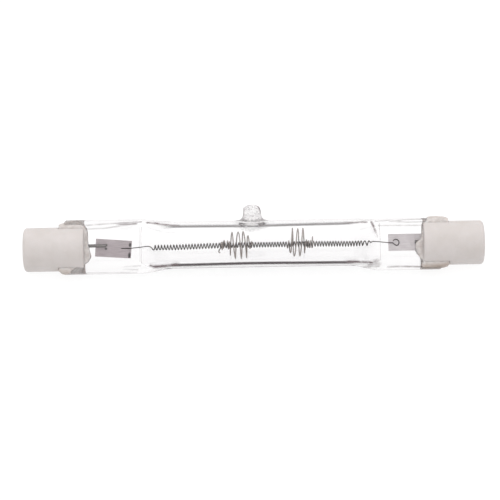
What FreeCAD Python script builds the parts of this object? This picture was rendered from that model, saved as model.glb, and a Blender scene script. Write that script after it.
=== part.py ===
import FreeCAD, Part
import math
import os
import re
import Sketcher

# A double-ended halogen lamp of the short standard length.
# The lamp is drawn about the middle of its caps' axis: X runs along it, Y points to the exhaust tip, and the
# flat pinches lie in the plane of X and Y. It is then turned about X into the pose that it comes to rest in,
# on its tube and on the cement in its caps. There Z is up, and the origin is on the surface that it lies on,
# below the middle of its box. Lengths are in millimetres, angles in degrees.

Vector = FreeCAD.Vector

SIZES = {
    "Whole lamp": {
        "overall_length": (78.3, "over both caps"),
        "contact_span": (74.9, "from contact face to contact face"),
    },
    "Ceramic caps": {
        "cap_width": (7.5, "diameter"),
        "cap_length": (10.3, "along the lamp"),
        "end_chamfer": (0.5, "of the outer rim"),
        "mouth_chamfer": (0.25, "of the rim towards the glass"),
        "slot_depth": (4.4, "of the slot that takes the pinch"),
        "recess_width": (3.6, "diameter of the opening to the contact"),
        "recess_lip": (0.25, "chamfer round that opening"),
        "funnel_width": (2.6, "where the lead enters the ceramic"),
        "funnel_length": (1.5, "of the tapered part of the lead's hole"),
    },
    "Cement": {
        "cement_layer": (0.2, "between pinch rail and slot wall"),
        "cement_bulge": (0.5, "out of the slot, towards the glass"),
        "cement_width": (8.1, "across the lamp"),
        "cement_corner": (0.9, "radius in plan"),
    },
    "Contacts": {
        "contact_thickness": (0.5, "of the disc"),
        "contact_clearance": (0.05, "round the disc, in its seat"),
        "seat_step": (0.2, "from the recess's wall in to that of the seat"),
        "contact_chamfer": (0.15, "of the disc's rim"),
        "shank_width": (1.3, "diameter of the hollow shank"),
        "shank_length": (1.8, "behind the disc"),
        "shank_clearance": (0.05, "round the shank"),
        "lead_clearance": (0.03, "round the lead in the shank"),
        "lead_tip_gap": (0.15, "from the lead's end to the disc"),
    },
    "Glass tube": {
        "tube_width": (8.0, "outer diameter"),
        "wall": (1.0, "of the tube"),
        "tube_shift": (0.4, "of the tube's axis from the caps' axis, towards the tip"),
        "left_shoulder_length": (6.4, "from round tube to flat pinch"),
        "right_shoulder_length": (5.5, "from round tube to flat pinch"),
    },
    "Pinches": {
        "pinch_thickness": (3.1, "over the rails"),
        "web_thickness": (1.9, "between the rails"),
        "rail_width": (0.7, "top of each rail"),
        "rail_round": (1.2, "radius of the rails' outer edges"),
        "web_margin": (1.2, "solid end of the pinch beyond the web"),
        "web_corner": (0.6, "cut off its corners, in plan"),
        "web_slope": (45.0, "of the walls round the web"),
        "pinch_corner": (1.15, "chamfer at the outer corners"),
        "left_pinch_length": (13.5, "flat part"),
        "right_pinch_length": (11.3, "flat part"),
        "left_pinch_width": (9.3, "across the lamp"),
        "right_pinch_width": (8.8, "across the lamp"),
        "left_pinch_shift": (0.3, "of its middle from the caps' axis"),
        "right_pinch_shift": (-0.1, "of its middle from the caps' axis"),
        "left_end_gap": (0.15, "from the pinch to the slot's end"),
        "right_end_gap": (0.35, "from the pinch to the slot's end"),
    },
    "Sealed space": {
        "seal_gap": (0.5, "thickness of the space where it closes"),
        "left_closing": (0.5, "from the space's end to the pinch"),
        "right_closing": (0.1, "from the space's end to the pinch, which it nearly reaches"),
        "left_flare_width": (7.5, "widest place of the space"),
        "right_flare_width": (6.8, "widest place of the space"),
        "left_flare_length": (1.6, "from the widest place to the end"),
        "right_flare_length": (2.2, "from the widest place to the end"),
        "left_closing_width": (6.7, "width at the end"),
        "right_closing_width": (3.8, "width at the end"),
    },
    "Exhaust tip": {
        "tip_place": (-0.2, "along the lamp from its middle"),
        "tip_width": (3.3, "diameter"),
        "tip_height": (2.85, "above the tube"),
        "tip_shoulder": (0.35, "how far its steep upper slope goes in"),
        "tip_crown": (1.1, "diameter of its flat top"),
        "tip_crown_height": (0.4, "of its shallow top slope"),
        "tip_foot_width": (5.2, "diameter of its foot, at the bore"),
        "tip_foot_height": (0.7, "above the tube, where the foot ends"),
        "channel_width": (2.2, "of the closed channel at the bore"),
        "channel_end": (0.5, "of the channel where it closes"),
        "channel_depth": (1.9, "over the channel"),
        "channel_mouth": (0.25, "of the channel within the bore, which it opens into"),
    },
    "Foils": {
        "foil_length": (6.2, "along the lamp"),
        "foil_thickness": (0.04, "of the molybdenum strip"),
        "left_foil_width": (3.05, "across the lamp"),
        "right_foil_width": (2.9, "across the lamp"),
        "left_foil_gap": (1.7, "from the sealed space"),
        "right_foil_gap": (1.4, "from the sealed space"),
        "left_foil_shift": (-0.05, "of its middle from the caps' axis"),
        "right_foil_shift": (0.18, "of its middle from the caps' axis"),
        "left_foil_turn": (-4.5, "in plan"),
        "right_foil_turn": (0.0, "in plan"),
    },
    "Outer leads": {
        "lead_width": (0.57, "diameter"),
        "lead_press": (0.015, "flattening where it is welded to the foil"),
        "lead_slant": (1.7, "along the lamp, of the part that leans onto the shank's axis"),
        "left_lead_shift": (0.45, "from the caps' axis in the pinch"),
        "right_lead_shift": (0.2, "from the caps' axis in the pinch"),
        "left_lead_overlap": (1.8, "on the foil"),
        "right_lead_overlap": (1.1, "on the foil"),
    },
    "Filament": {
        "wire_width": (0.21, "diameter of the drawn wire"),
        "coil_width": (1.0, "over the coil"),
        "left_pitch": (0.51, "up to the left support"),
        "middle_pitch": (0.47, "between the supports"),
        "right_pitch": (0.45, "past the right support"),
        "tail_pitch": (0.75, "of the last turns, which are stretched"),
        "tail_turns": (1.5, "a whole number and a half"),
        "coil_shift": (-0.1, "at the supports, from the tube's axis"),
        "left_coil_shift": (-0.02, "at the coil's end, from the caps' axis"),
        "right_coil_shift": (0.12, "at the coil's end, from the caps' axis"),
        "left_leg_length": (2.1, "from the sealed space's end to the coil"),
        "right_leg_length": (1.4, "from the sealed space's end to the coil"),
        "left_leg_shift": (0.24, "of the leg in the sealed space, from the caps' axis"),
        "right_leg_shift": (0.3, "of the leg in the sealed space, from the caps' axis"),
        "leg_turn_in": (1.1, "along the lamp, from the left leg's bend to the coil"),
        "left_leg_overlap": (1.8, "on the foil"),
        "curl_place": (1.35, "from the foil's edge to the middle of the right leg's curl"),
        "curl_width": (1.25, "over the curl's middle line"),
        "curl_entry": (0.375, "from the curl's middle to the bend before it"),
        "curl_start": (-60.0, "where the curl's arc begins, in plan"),
        "curl_end": (150.0, "where the curl's arc ends, in plan"),
    },
    "Filament supports": {
        "support_wire": (0.18, "diameter"),
        "wrap_clearance": (0.03, "between coil and wrap"),
        "wrap_pitch": (0.36, "of the turns on the coil"),
        "loop_clearance": (0.02, "between a loop and the glass it rests on"),
        "support_tail": (1.3, "loose end of the wire"),
        "left_support_place": (-5.6, "start of the wrap"),
        "right_support_place": (10.0, "start of the wrap"),
        "left_wrap_turns": (5.0, "on the coil"),
        "right_wrap_turns": (3.0, "on the coil"),
        "left_loop_turns": (3.0, "out at the glass"),
        "right_loop_turns": (2.5, "out at the glass"),
        "left_loop_width": (5.2, "over the loops"),
        "right_loop_width": (5.56, "over the loops"),
        "left_loop_shift": (-0.15, "of the loops' middle from the tube's axis"),
        "right_loop_shift": (0.19, "of the loops' middle from the tube's axis"),
        "loop_pitch": (0.9, "of the loops"),
    },
}

# Places and sizes that follow from the driving ones. Distances along the lamp are from its middle.
# The lamp rests on its tube and on the lower corners of the cement: the last lines of this first group find
# the turn at which these touch the surface together, and the middle of the box that the lamp then has.
PLACES = {
    "slot_width": "pinch_thickness + 2 * cement_layer",
    "cement_out": "tube_shift + cement_width / 2",
    "cement_rise": "atan(slot_width / 2 / cement_out) / 1 deg",
    "rest_turn": "asin(tube_width / 2 * cos(cement_rise) / cement_out) / 1 deg - cement_rise",
    "tip_out": "tube_shift + tube_width / 2 + tip_height - tip_crown_height",
    "tip_side": "tip_out * cos(rest_turn) + (tip_width / 2 - tip_shoulder) * sin(rest_turn)",
    "plain_side": "cement_width / 2 * cos(rest_turn) + slot_width / 2 * sin(rest_turn)",
    "rest_across": "(plain_side - tip_side) / 2",
    "rest_height": "tube_width / 2 - tube_shift * sin(rest_turn)",
    "cap_radius": "cap_width / 2",
    "mouth": "overall_length / 2 - cap_length",
    "slot_end": "mouth + slot_depth",
    "contact_face": "contact_span / 2",
    "recess_floor": "contact_face - contact_thickness",
    "recess_radius": "recess_width / 2",
    "seat_radius": "recess_radius - seat_step",
    "disc_radius": "seat_radius - contact_clearance",
    "shank_radius": "shank_width / 2",
    "shank_bore": "lead_width / 2 + lead_clearance",
    "shank_hole": "shank_radius + shank_clearance",
    "lead_end": "recess_floor - lead_tip_gap",
    "bore_radius": "tube_width / 2 - wall",
    "web_depth": "(pinch_thickness - web_thickness) / 2",
    "foil_top": "foil_thickness / 2",
    "lead_level": "foil_top + lead_width / 2 - lead_press",
}
for side in ("left", "right"):
    PLACES.update({
        f"{side}_pinch_end": f"slot_end - {side}_end_gap",
        f"{side}_pinch_start": f"{side}_pinch_end - {side}_pinch_length",
        f"{side}_shoulder_start": f"{side}_pinch_start - {side}_shoulder_length",
        f"{side}_space_end": f"{side}_pinch_start - {side}_closing",
        f"{side}_flare_place": f"{side}_space_end - {side}_flare_length",
        f"{side}_foil_start": f"{side}_space_end + {side}_foil_gap",
        f"{side}_foil_end": f"{side}_foil_start + foil_length",
        f"{side}_lead_start": f"{side}_foil_end - {side}_lead_overlap",
        f"{side}_web_length": f"{side}_pinch_length - web_margin",
        f"{side}_web_width": f"{side}_pinch_width - 2 * rail_width - 2 * web_depth",
        f"{side}_coil_end": f"{side}_space_end - {side}_leg_length",
    })

SIGN = {"left": -1, "right": 1}
ROUND = math.sqrt(0.5)  # fullness of a section that is a circle or an ellipse
FLAT = 2.4  # fullness of the section that meets the pinch
MITRED = 1  # how a swept wire turns a corner
SHOULDER_STEPS = 6
COIL_SIDES = 6  # straight runs in a turn of the coil or of a wrap
LOOP_SIDES = 10  # straight runs in a turn of a support's loops
CURL_SIDES = 6  # straight runs in the curl of the right leg


def fill_sheet(doc):
    """Driving sizes: one row each, with a heading row for each group."""
    sheet = doc.addObject("Spreadsheet::Sheet", "sizes")
    row = 0
    for heading, group in SIZES.items():
        row += 1
        sheet.set(f"A{row}", heading)
        for alias, (value, note) in group.items():
            row += 1
            sheet.set(f"A{row}", alias.replace("_", " "))
            sheet.set(f"B{row}", str(value))
            sheet.setAlias(f"B{row}", alias)
            sheet.set(f"C{row}", note)


def fill_places(doc):
    """Dependent places: one property each, bound to the sheet and to each other."""
    places = doc.addObject("App::VarSet", "places")
    for name in PLACES:
        places.addProperty("App::PropertyFloat", name, "Places", "")
    for name, formula in PLACES.items():
        bind(places, name, formula)


def qualified(formula):
    """The formula with each name told which object holds it."""
    driving = {alias for group in SIZES.values() for alias in group}

    def owner(match):
        word = match.group(0)
        if word in driving:
            return f"sizes.{word}"
        return f"places.{word}" if word in PLACES else word

    return re.sub(r"[a-z][a-z_]*", owner, formula)


def bind(thing, quantity, formula):
    """Ties a quantity of an object to a formula of named sizes."""
    thing.setExpression(quantity, qualified(formula))


def put(thing, along="0", across="0", height="0"):
    """Ties an object's place to named sizes, given from the middle of the caps' axis."""
    for axis, formula in zip("xyz", (along, across, height)):
        bind(thing, f"Placement.Base.{axis}", formula)


def size(name):
    """The present value of a driving size or a place."""
    holder = "places" if name in PLACES else "sizes"
    return float(getattr(FreeCAD.ActiveDocument.getObject(holder), name))


def origin_plane(body, role):
    """One of the body's own origin planes."""
    return [plane for plane in body.Origin.OriginFeatures if plane.Role == role][0]


def body_profile(body, role, corners, name):
    """A closed sketch of straight lines on one of the body's origin planes, each corner bound to sizes."""
    sketch = body.newObject("Sketcher::SketchObject", name)
    sketch.AttachmentSupport = (origin_plane(body, role), [""])
    sketch.MapMode = "FlatFace"
    count = len(corners)
    turns = [2 * math.pi * i / count for i in range(count)]
    start = [Vector(math.cos(turn), math.sin(turn), 0) for turn in turns]
    sketch.addGeometry([Part.LineSegment(start[i], start[(i + 1) % count]) for i in range(count)], False)
    for i in range(count):
        sketch.addConstraint(Sketcher.Constraint("Coincident", i, 2, (i + 1) % count, 1))
    for i, corner in enumerate(corners):
        for kind, formula, axis, value in zip(("DistanceX", "DistanceY"), corner, (-2, -1), start[i]):
            if formula == "0":
                sketch.addConstraint(Sketcher.Constraint("PointOnObject", i, 1, axis))
            else:
                index = sketch.addConstraint(Sketcher.Constraint(kind, -1, 1, i, 1, value))
                bind(sketch, f"Constraints[{index}]", formula)
    return sketch


def turned(body, kind, sketch, axis, name):
    """A revolution or a groove of the sketch about one of its own axes."""
    feature = body.newObject(f"PartDesign::{kind}", name)
    feature.Profile = sketch
    feature.ReferenceAxis = (sketch, [axis])
    feature.Angle = 360
    return feature


def cut_through(body, sketch, name):
    """A pocket of the sketch through all, both ways."""
    pocket = body.newObject("PartDesign::Pocket", name)
    pocket.Profile = sketch
    pocket.Type = "ThroughAll"
    pocket.Midplane = True
    return pocket


def rounded(doc, body, feature, chosen, radius, name):
    """A fillet on the feature's edges that the test chooses."""
    doc.recompute()
    edges = [f"Edge{i}" for i, edge in enumerate(feature.Shape.Edges, 1) if chosen(edge)]
    fillet = body.newObject("PartDesign::Fillet", name)
    fillet.Base = (feature, edges)
    bind(fillet, "Radius", radius)
    return fillet


def new_body(doc, label):
    """An empty body whose label names its piece."""
    body = doc.addObject("PartDesign::Body", label)
    body.Label = label
    return body


def stands(edge):
    """Whether an edge runs straight along Z."""
    return edge.BoundBox.XLength + edge.BoundBox.YLength < 1e-4 < edge.BoundBox.ZLength


def runs_along(edge):
    """Whether an edge runs straight along X."""
    return edge.BoundBox.YLength + edge.BoundBox.ZLength < 1e-4 < edge.BoundBox.XLength


def mark(side):
    """Sign of the places on that side."""
    return "-" if side == "left" else ""


def turn_outward(thing, side):
    """Turns a piece that is drawn with its outer end towards X."""
    if side == "left":
        thing.Placement = FreeCAD.Placement(Vector(), FreeCAD.Rotation(Vector(0, 0, 1), 180))


def face_outward(thing, side, along):
    """Places a piece drawn from its own seat towards the lamp's end."""
    turn_outward(thing, side)
    put(thing, f"{mark(side)}({along})")


def ceramic_cap(doc, side):
    """Turned ceramic end, slotted for the pinch, with the recess and seat of its contact and the lead's hole."""
    body = new_body(doc, f"{side}_ceramic_cap")
    outline = [
        ("0", "0"),
        ("cap_length", "0"),
        ("cap_length", "cap_radius - end_chamfer"),
        ("cap_length - end_chamfer", "cap_radius"),
        ("mouth_chamfer", "cap_radius"),
        ("0", "cap_radius - mouth_chamfer"),
    ]
    turned(body, "Revolution", body_profile(body, "XY_Plane", outline, "outline"), "H_Axis", "blank")
    half, beyond = "slot_width / 2", "-cap_length"
    slot = [(beyond, f"-{half}"), ("slot_depth", f"-{half}"), ("slot_depth", half), (beyond, half)]
    cut_through(body, body_profile(body, "XZ_Plane", slot, "slot_outline"), "slot")
    floor, face = "recess_floor - mouth", "contact_face - mouth"
    bore = [
        ("slot_depth", "0"),
        ("slot_depth", "funnel_width / 2"),
        ("slot_depth + funnel_length", "shank_hole"),
        (floor, "shank_hole"),
        (floor, "seat_radius"),
        (face, "seat_radius"),
        (face, "recess_radius"),
        ("cap_length - recess_lip", "recess_radius"),
        ("cap_length", "recess_radius + recess_lip"),
        ("cap_length", "0"),
    ]
    turned(body, "Groove", body_profile(body, "XY_Plane", bore, "bore_outline"), "H_Axis", "bore")
    face_outward(body, side, "mouth")
    return body


def contact(doc, side):
    """Metal disc at the recess's floor, with a hollow shank that takes the lead."""
    body = new_body(doc, f"{side}_contact")
    outline = [
        ("-shank_length", "shank_bore"),
        ("0", "shank_bore"),
        ("0", "0"),
        ("contact_thickness", "0"),
        ("contact_thickness", "disc_radius - contact_chamfer"),
        ("contact_thickness - contact_chamfer", "disc_radius"),
        ("0", "disc_radius"),
        ("0", "shank_radius"),
        ("-shank_length", "shank_radius"),
    ]
    turned(body, "Revolution", body_profile(body, "XY_Plane", outline, "outline"), "H_Axis", "blank")
    face_outward(body, side, "recess_floor")
    return body


def section(along, shift, half_width, half_thickness, fullness):
    """Closed curve across the glass, of four arcs: an ellipse at the fullness of a circle, and nearer to a
    rectangle the fuller it is."""
    edges = []
    for i in range(4):
        ends = [(1, 0), (0, 1), (-1, 0), (0, -1), (1, 0)][i : i + 2]
        corner = (ends[0][0] + ends[1][0], ends[0][1] + ends[1][1])
        arc = Part.BezierCurve()
        arc.setPoles([
            Vector(along, shift + half_width * y, half_thickness * z) for y, z in (ends[0], corner, ends[1])
        ])
        arc.setWeight(2, fullness)
        edges.append(arc.toShape())
    return Part.Wire(edges)


def mix(start, end, share):
    return start + (end - start) * share


def eased(share):
    """A share from nought to one that starts and ends gently."""
    return share * share * (3 - 2 * share)


def shoulder(doc, side):
    """The stretch in which the round tube is pressed flat."""
    radius = size("tube_width") / 2
    tube = (size("tube_shift"), radius, radius, ROUND)
    half_pinch = size(f"{side}_pinch_width") / 2, size("pinch_thickness") / 2
    pinch = (size(f"{side}_pinch_shift"), *half_pinch, FLAT)
    start, flat = size(f"{side}_shoulder_start"), size(f"{side}_pinch_start")
    sections = []
    for i in range(SHOULDER_STEPS + 1):
        share = i / SHOULDER_STEPS
        shape = [mix(a, b, eased(share)) for a, b in zip(tube, pinch)]
        sections.append(section(SIGN[side] * mix(start, flat, share), *shape))
    glass = doc.addObject("Part::Feature", f"{side}_shoulder")
    glass.Shape = Part.makeLoft(sections, True, True)
    put(glass)
    return glass


def pinch_bar(doc, side):
    """The pinch before its webs are pressed: a bar with round rails and its outer corners cut off."""
    body = new_body(doc, f"{side}_pinch_bar")
    half, end = f"{side}_pinch_width / 2", f"{side}_pinch_length"
    plan = [
        ("0", f"-{half}"),
        (f"{end} - pinch_corner", f"-{half}"),
        (end, f"pinch_corner - {half}"),
        (end, f"{half} - pinch_corner"),
        (f"{end} - pinch_corner", half),
        ("0", half),
    ]
    pad = body.newObject("PartDesign::Pad", "bar")
    pad.Profile = body_profile(body, "XY_Plane", plan, "plan")
    pad.Midplane = True
    bind(pad, "Length", "pinch_thickness")
    rounded(doc, body, pad, runs_along, "rail_round", "rails")
    turn_outward(body, side)
    put(body, f"{mark(side)}{side}_pinch_start", f"{side}_pinch_shift")
    return body


def pinch(doc, side):
    """The flat end of the glass: two rails with a thinner web between them."""
    webs = doc.addObject("Part::MultiFuse", f"{side}_web_hollows")
    webs.Shapes = [web_hollow(doc, side, way) for way in ("upper", "lower")]
    glass = doc.addObject("Part::Cut", f"{side}_pinch")
    glass.Base, glass.Tool = pinch_bar(doc, side), webs
    return glass


def glass_tube(doc):
    """The round part of the glass."""
    tube = doc.addObject("Part::Cylinder", "glass_tube")
    bind(tube, "Radius", "tube_width / 2")
    bind(tube, "Height", "left_shoulder_start + right_shoulder_start")
    tube.Placement = FreeCAD.Placement(Vector(), FreeCAD.Rotation(Vector(0, 1, 0), 90))
    put(tube, "-left_shoulder_start", "tube_shift")
    return tube


def exhaust_tip(doc):
    """Solid button left where the exhaust tube was melted off, wider at the foot where it grows out of the
    tube."""
    body = new_body(doc, "exhaust_tip")
    top = "tube_width / 2 + tip_height"
    outline = [
        ("0", "bore_radius"),
        ("tip_foot_width / 2", "bore_radius"),
        ("tip_width / 2", "tube_width / 2 + tip_foot_height"),
        ("tip_width / 2", f"{top} - tip_crown_height - 2 * tip_shoulder"),
        ("tip_width / 2 - tip_shoulder", f"{top} - tip_crown_height"),
        ("tip_crown / 2", top),
        ("0", top),
    ]
    turned(body, "Revolution", body_profile(body, "XY_Plane", outline, "outline"), "V_Axis", "blank")
    put(body, "tip_place", "tube_shift")
    return body


def sealed_space(doc):
    """The gas-filled space: the bore, widened in plan and wedged shut at the pinches."""
    body = new_body(doc, "sealed_space")
    ends = {
        side: [
            (f"{side}_shoulder_start", "bore_radius"),
            (f"{side}_flare_place", f"{side}_flare_width / 2"),
            (f"{side}_space_end", f"{side}_closing_width / 2"),
            (f"{side}_space_end", "0"),
        ]
        for side in SIGN
    }
    outline = ends["right"] + [(f"-{along}", out) for along, out in ends["left"][::-1]]
    sketch = body_profile(body, "XY_Plane", outline, "outline")
    turned(body, "Revolution", sketch, "H_Axis", "blank")
    for side in SIGN:
        start, end = f"{mark(side)}{side}_shoulder_start", f"{mark(side)}{side}_space_end"
        beyond = f"{mark(side)}({side}_space_end + tube_width)"
        for way, up in (("upper", ""), ("lower", "-")):
            jaw = [
                (start, f"{up}bore_radius"),
                (end, f"{up}seal_gap / 2"),
                (beyond, f"{up}seal_gap / 2"),
                (beyond, f"{up}tube_width"),
                (start, f"{up}tube_width"),
            ]
            cut_through(body, body_profile(body, "XZ_Plane", jaw, f"{side}_{way}_jaw"), f"{side}_{way}_press")
    put(body, "0", "tube_shift")
    return body


def exhaust_channel(doc):
    """What is left of the exhaust tube's bore, closed to a point inside the tip."""
    cone = doc.addObject("Part::Cone", "exhaust_channel")
    bind(cone, "Radius1", "channel_width / 2")
    bind(cone, "Radius2", "channel_end / 2")
    bind(cone, "Height", "channel_depth")
    cone.Placement = FreeCAD.Placement(Vector(), FreeCAD.Rotation(Vector(1, 0, 0), -90))
    put(cone, "tip_place", "tube_shift + bore_radius - channel_mouth")
    return cone


def web_hollow(doc, side, way):
    """Hollow with sloping walls, pressed into one face of a pinch between its rails."""
    body = new_body(doc, f"{side}_{way}_web_hollow")
    half = f"{side}_web_width / 2"
    start, end = "web_depth", f"{side}_web_length - web_depth"
    plan = [
        (f"{start} + web_corner", f"-{half}"),
        (f"{end} - web_corner", f"-{half}"),
        (end, f"web_corner - {half}"),
        (end, f"{half} - web_corner"),
        (f"{end} - web_corner", half),
        (f"{start} + web_corner", half),
        (start, f"{half} - web_corner"),
        (start, f"web_corner - {half}"),
    ]
    pad = body.newObject("PartDesign::Pad", "hollow")
    pad.Profile = body_profile(body, "XY_Plane", plan, "plan")
    bind(pad, "Length", "pinch_thickness / 2")
    doc.recompute()
    walls = [f"Face{i}" for i, face in enumerate(pad.Shape.Faces, 1) if face.BoundBox.ZLength > 1e-3]
    slope = body.newObject("PartDesign::Draft", "slope")
    slope.Base = (pad, walls)
    slope.NeutralPlane = (origin_plane(body, "XY_Plane"), [""])
    slope.Reversed = True
    bind(slope, "Angle", "web_slope")
    axis = {("right", "lower"): Vector(1, 0, 0), ("left", "lower"): Vector(0, 1, 0)}.get((side, way), Vector(0, 0, 1))
    turn = 0 if (side, way) == ("right", "upper") else 180
    body.Placement = FreeCAD.Placement(Vector(), FreeCAD.Rotation(axis, turn))
    up = "" if way == "upper" else "-"
    put(body, f"{mark(side)}{side}_pinch_start", f"{side}_pinch_shift", f"{up}web_thickness / 2")
    return body


def foil(doc, side):
    """Thin molybdenum strip that carries the current through the pinch."""
    strip = doc.addObject("Part::Box", f"{side}_foil")
    bind(strip, "Length", "foil_length")
    bind(strip, "Width", f"{side}_foil_width")
    bind(strip, "Height", "foil_thickness")
    turn = FreeCAD.Rotation(Vector(0, 0, 1), size(f"{side}_foil_turn"))
    middle = Vector(SIGN[side] * (size(f"{side}_foil_start") + size("foil_length") / 2), size(f"{side}_foil_shift"))
    corner = turn.multVec(Vector(size("foil_length"), size(f"{side}_foil_width")) / 2)
    below = Vector(0, 0, size("foil_thickness") / 2)
    strip.Placement = FreeCAD.Placement(middle - corner - below, turn)
    return strip


def lead_line(side):
    """Middle line of an outer lead: straight in the pinch, then leaning over onto the shank's axis."""
    in_pinch = Vector(0, size(f"{side}_lead_shift"), size("lead_level"))
    bend = size("slot_end")
    stations = [
        (size(f"{side}_lead_start"), in_pinch),
        (bend, in_pinch),
        (bend + size("lead_slant"), Vector()),
        (size("lead_end"), Vector()),
    ]
    return Part.makePolygon([Vector(SIGN[side] * along, 0, 0) + aside for along, aside in stations])


def outer_lead(doc, side, strip):
    """Round molybdenum wire from the foil out to the contact, pressed flat where it is welded to the foil."""
    line = lead_line(side)
    start = line.OrderedVertexes[0].Point
    across = Part.Wire([Part.makeCircle(size("lead_width") / 2, start, Vector(1, 0, 0))])
    wire = doc.addObject("Part::Feature", f"{side}_lead_wire")
    wire.Shape = line.makePipeShell([across], True, False, MITRED)
    put(wire)
    lead = doc.addObject("Part::Cut", f"{side}_outer_lead")
    lead.Base, lead.Tool = wire, strip
    return lead


class Strand:
    """Middle line of a fine wire: points, and at each the way that one of its four sides faces."""

    def __init__(self):
        self.points = []
        self.faces = []

    def add(self, point, face):
        self.points.append(point)
        self.faces.append(face)

    def add_turn(self, middle, radius, angle):
        """A point of a turn about the lamp's length, its side facing out."""
        out = Vector(0, math.cos(angle), math.sin(angle))
        self.add(middle + out * radius, out)

    def add_level(self, points, before, after, way):
        """Points of a run at one height, its side facing along that height, to the left for way 1."""
        line = [before or points[0], *points, after or points[-1]]
        for behind, point, ahead in zip(line, line[1:], line[2:]):
            self.add(point, Vector(0, 0, way).cross(ahead - behind))

    def solid(self, half, first=0, last=None):
        """The wire as a solid of square section, mitred at each point so that its sides are flat."""
        return flat_sided(self.rings(half)[first:last])

    def rings(self, half):
        rings = []
        for i, (point, face) in enumerate(zip(self.points, self.faces)):
            ahead = unit(self.points[i + 1] - point) if i + 1 < len(self.points) else None
            behind = unit(point - self.points[i - 1]) if i else ahead
            ahead = ahead or behind
            across = unit(ahead + behind)
            out = unit(face - across * face.dot(across))
            aside = across.cross(out)
            square = [out * a + aside * b for a, b in ((half, half), (-half, half), (-half, -half), (half, -half))]
            bend = ahead - behind
            if bend.Length > 1e-9:
                bend = unit(bend)
                stretch = 1 / across.dot(ahead) - 1
                square = [corner + bend * (corner.dot(bend) * stretch) for corner in square]
            rings.append([point + corner for corner in square])
        return rings


def unit(vector):
    return Vector(vector).normalize()


def flat_sided(rings):
    """Solid between rings of four corners. A side that isn't flat is two triangles, split one way on two sides
    and the other way on the opposite ones, so that the wire keeps its volume."""
    outlines = [rings[0], rings[-1][::-1]]
    for ring, following in zip(rings, rings[1:]):
        for i in range(4):
            a, b, c, d = ring[i], ring[(i + 1) % 4], following[(i + 1) % 4], following[i]
            square = (b - a).cross(c - a)
            if abs(square.dot(d - a)) < 1e-6 * square.Length:
                outlines.append([a, b, c, d])
            elif i < 2:
                outlines += [[a, b, c], [a, c, d]]
            else:
                outlines += [[a, b, d], [b, c, d]]
    faces = [Part.Face(Part.makePolygon(outline + outline[:1])) for outline in outlines]
    return Part.makeSolid(Part.makeShell(faces))


def half_side(diameter):
    """Half the side of the square with the area of a round wire."""
    return diameter * math.sqrt(math.pi) / 4


def support_steps(side):
    """Along and around steps of a support, with the share by which each has opened from wrap to loop."""
    wrap, loop = size("wrap_pitch"), size("loop_pitch")
    stages = [
        (size(f"{side}_wrap_turns"), COIL_SIDES, lambda share: 0),
        (0.5, LOOP_SIDES, lambda share: eased(share)),
        (size(f"{side}_loop_turns"), LOOP_SIDES, lambda share: 1),
        (0.5, LOOP_SIDES, lambda share: eased(1 - share)),
        (1.0, COIL_SIDES, lambda share: 0),
    ]
    along = around = 0.0
    steps = [(along, around, 0)]
    for turns, sides, opening in stages:
        count = round(turns * sides)
        for i in range(count):
            opened = opening((i + 1) / count)
            around += turns / count
            along += turns / count * mix(wrap, loop, opened)
            steps.append((along, around, opened))
    return steps


def support_middle(side):
    """Height of the middle of a support's loops, which rest on the glass, from the tube's axis."""
    room = size("bore_radius") - size(f"{side}_loop_width") / 2 - size("loop_clearance")
    return -math.sqrt(max(room**2 - size(f"{side}_loop_shift") ** 2, 0))


def coil_middle(along):
    """Point on the coil's middle line: straight between its ends and the two supports."""
    supported = size("tube_shift") + size("coil_shift")
    stations = [(-size("left_coil_end"), size("left_coil_shift"), 0)]
    for side, steps in (("left", (0, -1)), ("right", (-1, 0))):
        for step in steps:
            place = size(f"{side}_support_place") - SIGN[side] * support_steps(side)[step][0]
            stations.append((place, supported, support_middle(side)))
    stations.append((size("right_coil_end"), size("right_coil_shift"), 0))
    for start, end in zip(stations, stations[1:]):
        if along <= end[0]:
            break
    share = min(max((along - start[0]) / (end[0] - start[0]), 0), 1)
    return Vector(along, mix(start[1], end[1], share), mix(start[2], end[2], share))


def coil_radius():
    """Radius of the coil's middle line, so that the corners of its straight runs keep to its width."""
    return size("coil_width") / 2 - half_side(size("wire_width")) / math.cos(math.pi / COIL_SIDES)


def add_coil(strand):
    """Turns of the coil, from half a turn past the side of the tip to a whole number of turns."""
    tail = size("tail_turns") * size("tail_pitch")
    start, end = -size("left_coil_end"), size("right_coil_end")
    stops = [start, size("left_support_place"), size("right_support_place"), end - tail, end]
    pitches = [size(f"{name}_pitch") for name in ("left", "middle", "right", "tail")]
    angle = math.pi
    strand.add_turn(coil_middle(start), coil_radius(), angle)
    for first, last, pitch in zip(stops, stops[1:], pitches):
        turns = round((last - first) / pitch) if last < end else size("tail_turns")
        count = round(turns * COIL_SIDES)
        for i in range(count):
            angle += 2 * math.pi / COIL_SIDES
            strand.add_turn(coil_middle(mix(first, last, (i + 1) / count)), coil_radius(), angle)


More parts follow.
